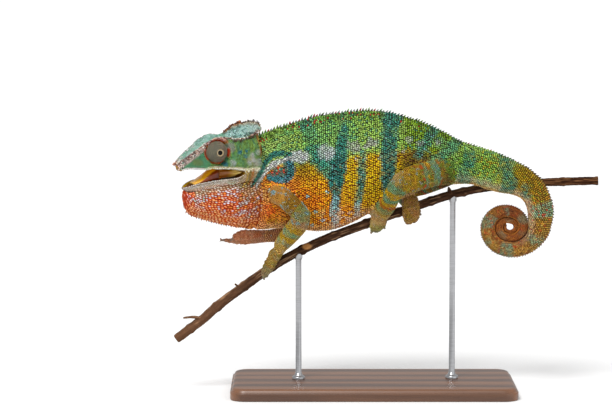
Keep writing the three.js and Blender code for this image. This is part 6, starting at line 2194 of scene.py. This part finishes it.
# %% Bark tube with ridges and nodes
def bark_tube(path_rows, radius_rows, sides, count, seed, ridge):
    """A closed tube along a path with ridges along it: points, faces, and height and streaks of bark."""
    path, t = fine_path(path_rows, count)
    ahead = unit(np.gradient(path, axis=0))
    side = unit(np.cross(ahead, [0, 0, 1.0]))
    up = np.cross(side, ahead)
    a = np.linspace(0, math.tau, sides, endpoint=False)
    radius = np.interp(t / t[-1], *np.array(radius_rows).T)

    def around(wide, long):
        """Places for the grain: wide across the tube, long along it."""
        line = [np.cos(a)[None] * wide + 0 * t[:, None], np.sin(a)[None] * wide + 0 * t[:, None]]
        return np.stack([*line, t[:, None] * long + 0 * a[None]], 2).reshape(-1, 3)

    bark = (1.3 * grain(around(4.2, 0.22), 1.0, seed) + 0.8 * grain(around(9.24, 1.0648), 1.0, seed + 1)
            + 0.5 * grain(around(9, 0.16), 1.0, seed + 3))
    streak = grain(around(9, 0.16), 1.0, seed + 2)
    girth = radius[:, None] + ridge * bark.reshape(len(t), sides)
    if len(t) > 60:
        girth += sum(0.45 * near(t - knot, 1.6) for knot in np.arange(9 + seed % 5, t[-1], 23.0))[:, None]
    girth[[0, -1]] *= 0.9
    points = (path[:, None] + side[:, None] * (girth * np.cos(a))[..., None]
              + up[:, None] * (girth * np.sin(a))[..., None])
    hubs = [path[0] - ahead[0] * 0.15, path[-1] + ahead[-1] * 0.15]
    return (np.vstack([points.reshape(-1, 3), hubs]), tube_faces(len(t), sides, flip=True, hubs=True),
            np.append(bark, [CUT, CUT]), np.append(streak, [0, 0]))


CUT = 9.0  # marks the middles of the cut ends
bark_parts = [
    bark_tube(BRANCH, [(0, 3.0), (0.1, 3.2), (0.4, 2.95), (0.6, 2.95), (0.8, 2.75), (1, 2.65)],
              36, 460, 3, 0.16),
    bark_tube([[-69, -1, 49], [-76, -2.5, 50.2], [-82, -3.5, 49.8]], [(0, 1.25), (0.6, 0.85), (1, 0.7)],
              14, 34, 5, 0.1),
    bark_tube([[96, 1, 133], [95.4, 0.6, 135.6], [95, 0.5, 137.4]],
              [(0, 1.5), (0.5, 1.4), (0.85, 0.9), (1, 0.3)], 14, 12, 6, 0.08),
    bark_tube([[-44, -0.5, 69.5], [-47.5, -2.4, 72.6]], [(0, 1.0), (0.6, 0.7), (1, 0.5)], 12, 10, 7, 0.08),
]
points, faces = gathered([part[:2] for part in bark_parts])
level, streak = (np.concatenate([part[k] for part in bark_parts]) for k in (2, 3))
print("bark from", len(bark_parts), "tubes")

# %% Colours of the bark: ridges, worn streaks, dark cracks, a paler left end and a tan scar
x = points[:, 0]
worn = grain(points * np.array([0.35, 1, 0.35]), 2.6, 61)
scar = oval(x, points[:, 2], (0.6, 97.8), (3.0, 1.9)) * (points[:, 1] < 0.6)
shade = layered(linear("2c1a10"), ("5c3f2c", np.clip(0.45 + 0.4 * level, 0, 1) * 0.75),
                ("a88462", ramp(0.1, 0.5, streak) * ramp(-0.3, 0.4, worn) * 0.7),
                ("1e120a", ramp(-0.15, -0.5, streak) * 0.7), ("8c6448", ramp(-20, -75, x) * 0.35))
shade *= 1 - 0.5 * ramp(105, 135, x)[:, None] * np.array([0.6, 0.9, 1.15])
shade = layered(shade, ("b8824c", scar * 0.8))
shade[level == CUT] = linear("c9ab80")
# dry bark scatters light from torn fibres 0.7 mm apart, so it has almost no shine
bark_finish, tree, _ = finish("dry bark", 0.9, "hide", (0.7, 6.0), (0.55, 1.45), (0.6, 0.25), IOR=1.45,
                              Specular_IOR_Level=0.08)
tree.nodes["Noise Texture"].inputs["Roughness"].default_value = 0.65
make_piece("perch_bark", points, faces, "bark", bark_finish, "perch", colour=shade)

# %% [markdown]
# ## The stand
# A museum stand should not draw the eye: an oiled walnut board with rounded corners and a moulded
# edge, and two steel rods, each in a turned collar, that hold the branch from below.

# %% Walnut board: growth lines 2 to 4 mm apart; pores of 0.3 mm, drawn 0.5 mm wide so that they show
BOARD_LENGTH, BOARD_WIDTH, BOARD_CORNER = 190.0, 84.0, 10.0
BOARD_EDGE = [  # inset, height
    (0.7, 0.0), (0.15, 0.35), (0.0, 0.9), (0.0, 4.9), (0.25, 5.35), (0.9, 5.6), (1.2, 6.1), (1.5, 6.9),
    (2.2, 7.55), (3.1, 7.9), (4.2, 8.0)]
rings = []
for inset, z in BOARD_EDGE:
    half_x, half_y, r = BOARD_LENGTH / 2 - inset, BOARD_WIDTH / 2 - inset, BOARD_CORNER - inset * 0.7
    for corner, (sx, sy) in enumerate(((1, 1), (-1, 1), (-1, -1), (1, -1))):
        for a in np.linspace(0, math.pi / 2, 13) + corner * math.pi / 2:
            rings.append([BASE_CENTRE_X + sx * (half_x - r) + r * math.cos(a),
                          sy * (half_y - r) + r * math.sin(a), z])
walnut, tree, _ = finish("oiled walnut", 0.38, ("4a3022", "7a5238"), (0.5, 4.0), (0.72, 1.25), (0.15, 0.05),
                         stretch=(0.04, 1.0, 1.0), IOR=1.5, Coat_Weight=0.15, Coat_Roughness=0.3)
place = tree.nodes["Texture Coordinate"].outputs["Object"]
drawn = add(tree, "ShaderNodeMapping", None, Vector=place, Scale=(0.07, 1.0, 1.0)).outputs[0]
wander = add(tree, "ShaderNodeTexNoise", None, Vector=drawn, Scale=1 / (9 * MM), Detail=3.0)
pull = add(tree, "ShaderNodeVectorMath", {"operation": "MULTIPLY_ADD"}, _0=wander.outputs["Color"],
           _1=(0.0, 0.012, 0.012), _2=drawn)
growth = add(tree, "ShaderNodeTexWave", {"bands_direction": "Y"}, Vector=pull.outputs[0],
             Scale=1 / (60 * MM), Distortion=3.0, Detail=3.0)
tree.links.new(growth.outputs["Fac"], tree.nodes["Mix"].inputs["Factor"])
make_piece("stand_board", rings, tube_faces(len(BOARD_EDGE), 52), "walnut", walnut, "stand_base", sharp=35)

# %% Steel rods with turned collars; a lathe's rings, drawn 0.4 mm apart so that they show
steel = finish("brushed steel", 0.3, ("8f9092", "c4c5c8"), (0.4, 3.0), None, (0.1, 0.02),
               stretch=(0.05, 0.05, 1.0), Metallic=1.0)[0]
COLLAR = [(4.0, 7.9), (4.3, 8.15), (4.3, 9.4), (4.0, 9.8), (3.1, 10.2), (2.6, 10.9), (2.3, 11.9), (2.0, 12.3)]
SADDLE = [(2.0, -5.6), (2.35, -5.0), (2.7, -4.2), (2.7, -1.2)]  # radius, height below the branch's middle
turns = math.tau * np.arange(40) / 40
for number, x in ((1, -5.0), (2, 98.0)):
    line = fine_path(BRANCH, 600)[0]
    top = line[np.abs(line[:, 0] - x).argmin(), 2]
    y = np.interp(x, *np.array(BRANCH)[:, :2].T)
    profile = COLLAR + [(r, top + z) for r, z in SADDLE]
    points = [[x + r * math.cos(a), y + r * math.sin(a), z] for r, z in profile for a in turns]
    make_piece(f"stand_post_{number}", points, tube_faces(len(profile), 40), "rod_steel", steel,
               f"stand_rod_{number}", sharp=40)

# %% [markdown]
# ## Floor, light and camera
# A very pale, wide floor runs out of sight, with even light from all sides, a broad, soft lamp
# from the upper left in front and a weak one from the right, as in a product studio.

# %% Studio
for helper in (bead, round_bead, spike):
    bpy.data.objects.remove(helper)
floor_finish = bpy.data.materials.new("white studio floor")
floor_finish.use_nodes = True
paint = floor_finish.node_tree.nodes["Principled BSDF"].inputs
paint["Roughness"].default_value, paint["Base Color"].default_value = 0.9, (0.93, 0.93, 0.93, 1)
FAR = 60.0
corners = [[-FAR, -FAR, 0], [FAR, -FAR, 0], [FAR, FAR, 0], [-FAR, FAR, 0]]
floor = new_object("studio_floor", new_mesh("studio_floor", corners, [[0, 1, 2, 3]]))
floor.data.materials.append(floor_finish)

world = bpy.data.worlds.new("white tent")
bpy.context.scene.world = world
world.use_nodes = True
world.node_tree.nodes["Background"].inputs["Color"].default_value = (1, 1, 1, 1)
world.node_tree.nodes["Background"].inputs["Strength"].default_value = 0.6
for name, energy, spread_deg, direction in (("key", 2.3, 25, (-0.35, -0.7, 1.0)),
                                            ("fill", 0.5, 60, (0.8, -0.6, 0.35))):
    light = bpy.data.lights.new(name, "SUN")
    light.energy, light.angle = energy, math.radians(spread_deg)
    new_object(name, light).rotation_euler = Vector(direction).to_track_quat("Z", "Y").to_euler()

# %% Camera
TARGET = Vector((SHIFT[0] * MM, 0, 0.126))
RISE = math.radians(6)
DISTANCE = 1.6
camera = new_object("camera", bpy.data.cameras.new("camera"))
camera.location = TARGET + Vector((0, -math.cos(RISE), math.sin(RISE))) * DISTANCE
camera.rotation_euler = (math.radians(90) - RISE, 0, 0)
camera.data.sensor_width, camera.data.lens = 36, 141.2
bpy.context.scene.camera = camera
bpy.context.scene.view_settings.view_transform = "Standard"
print("camera at", DISTANCE, "m, with a lens of", camera.data.lens, "mm")
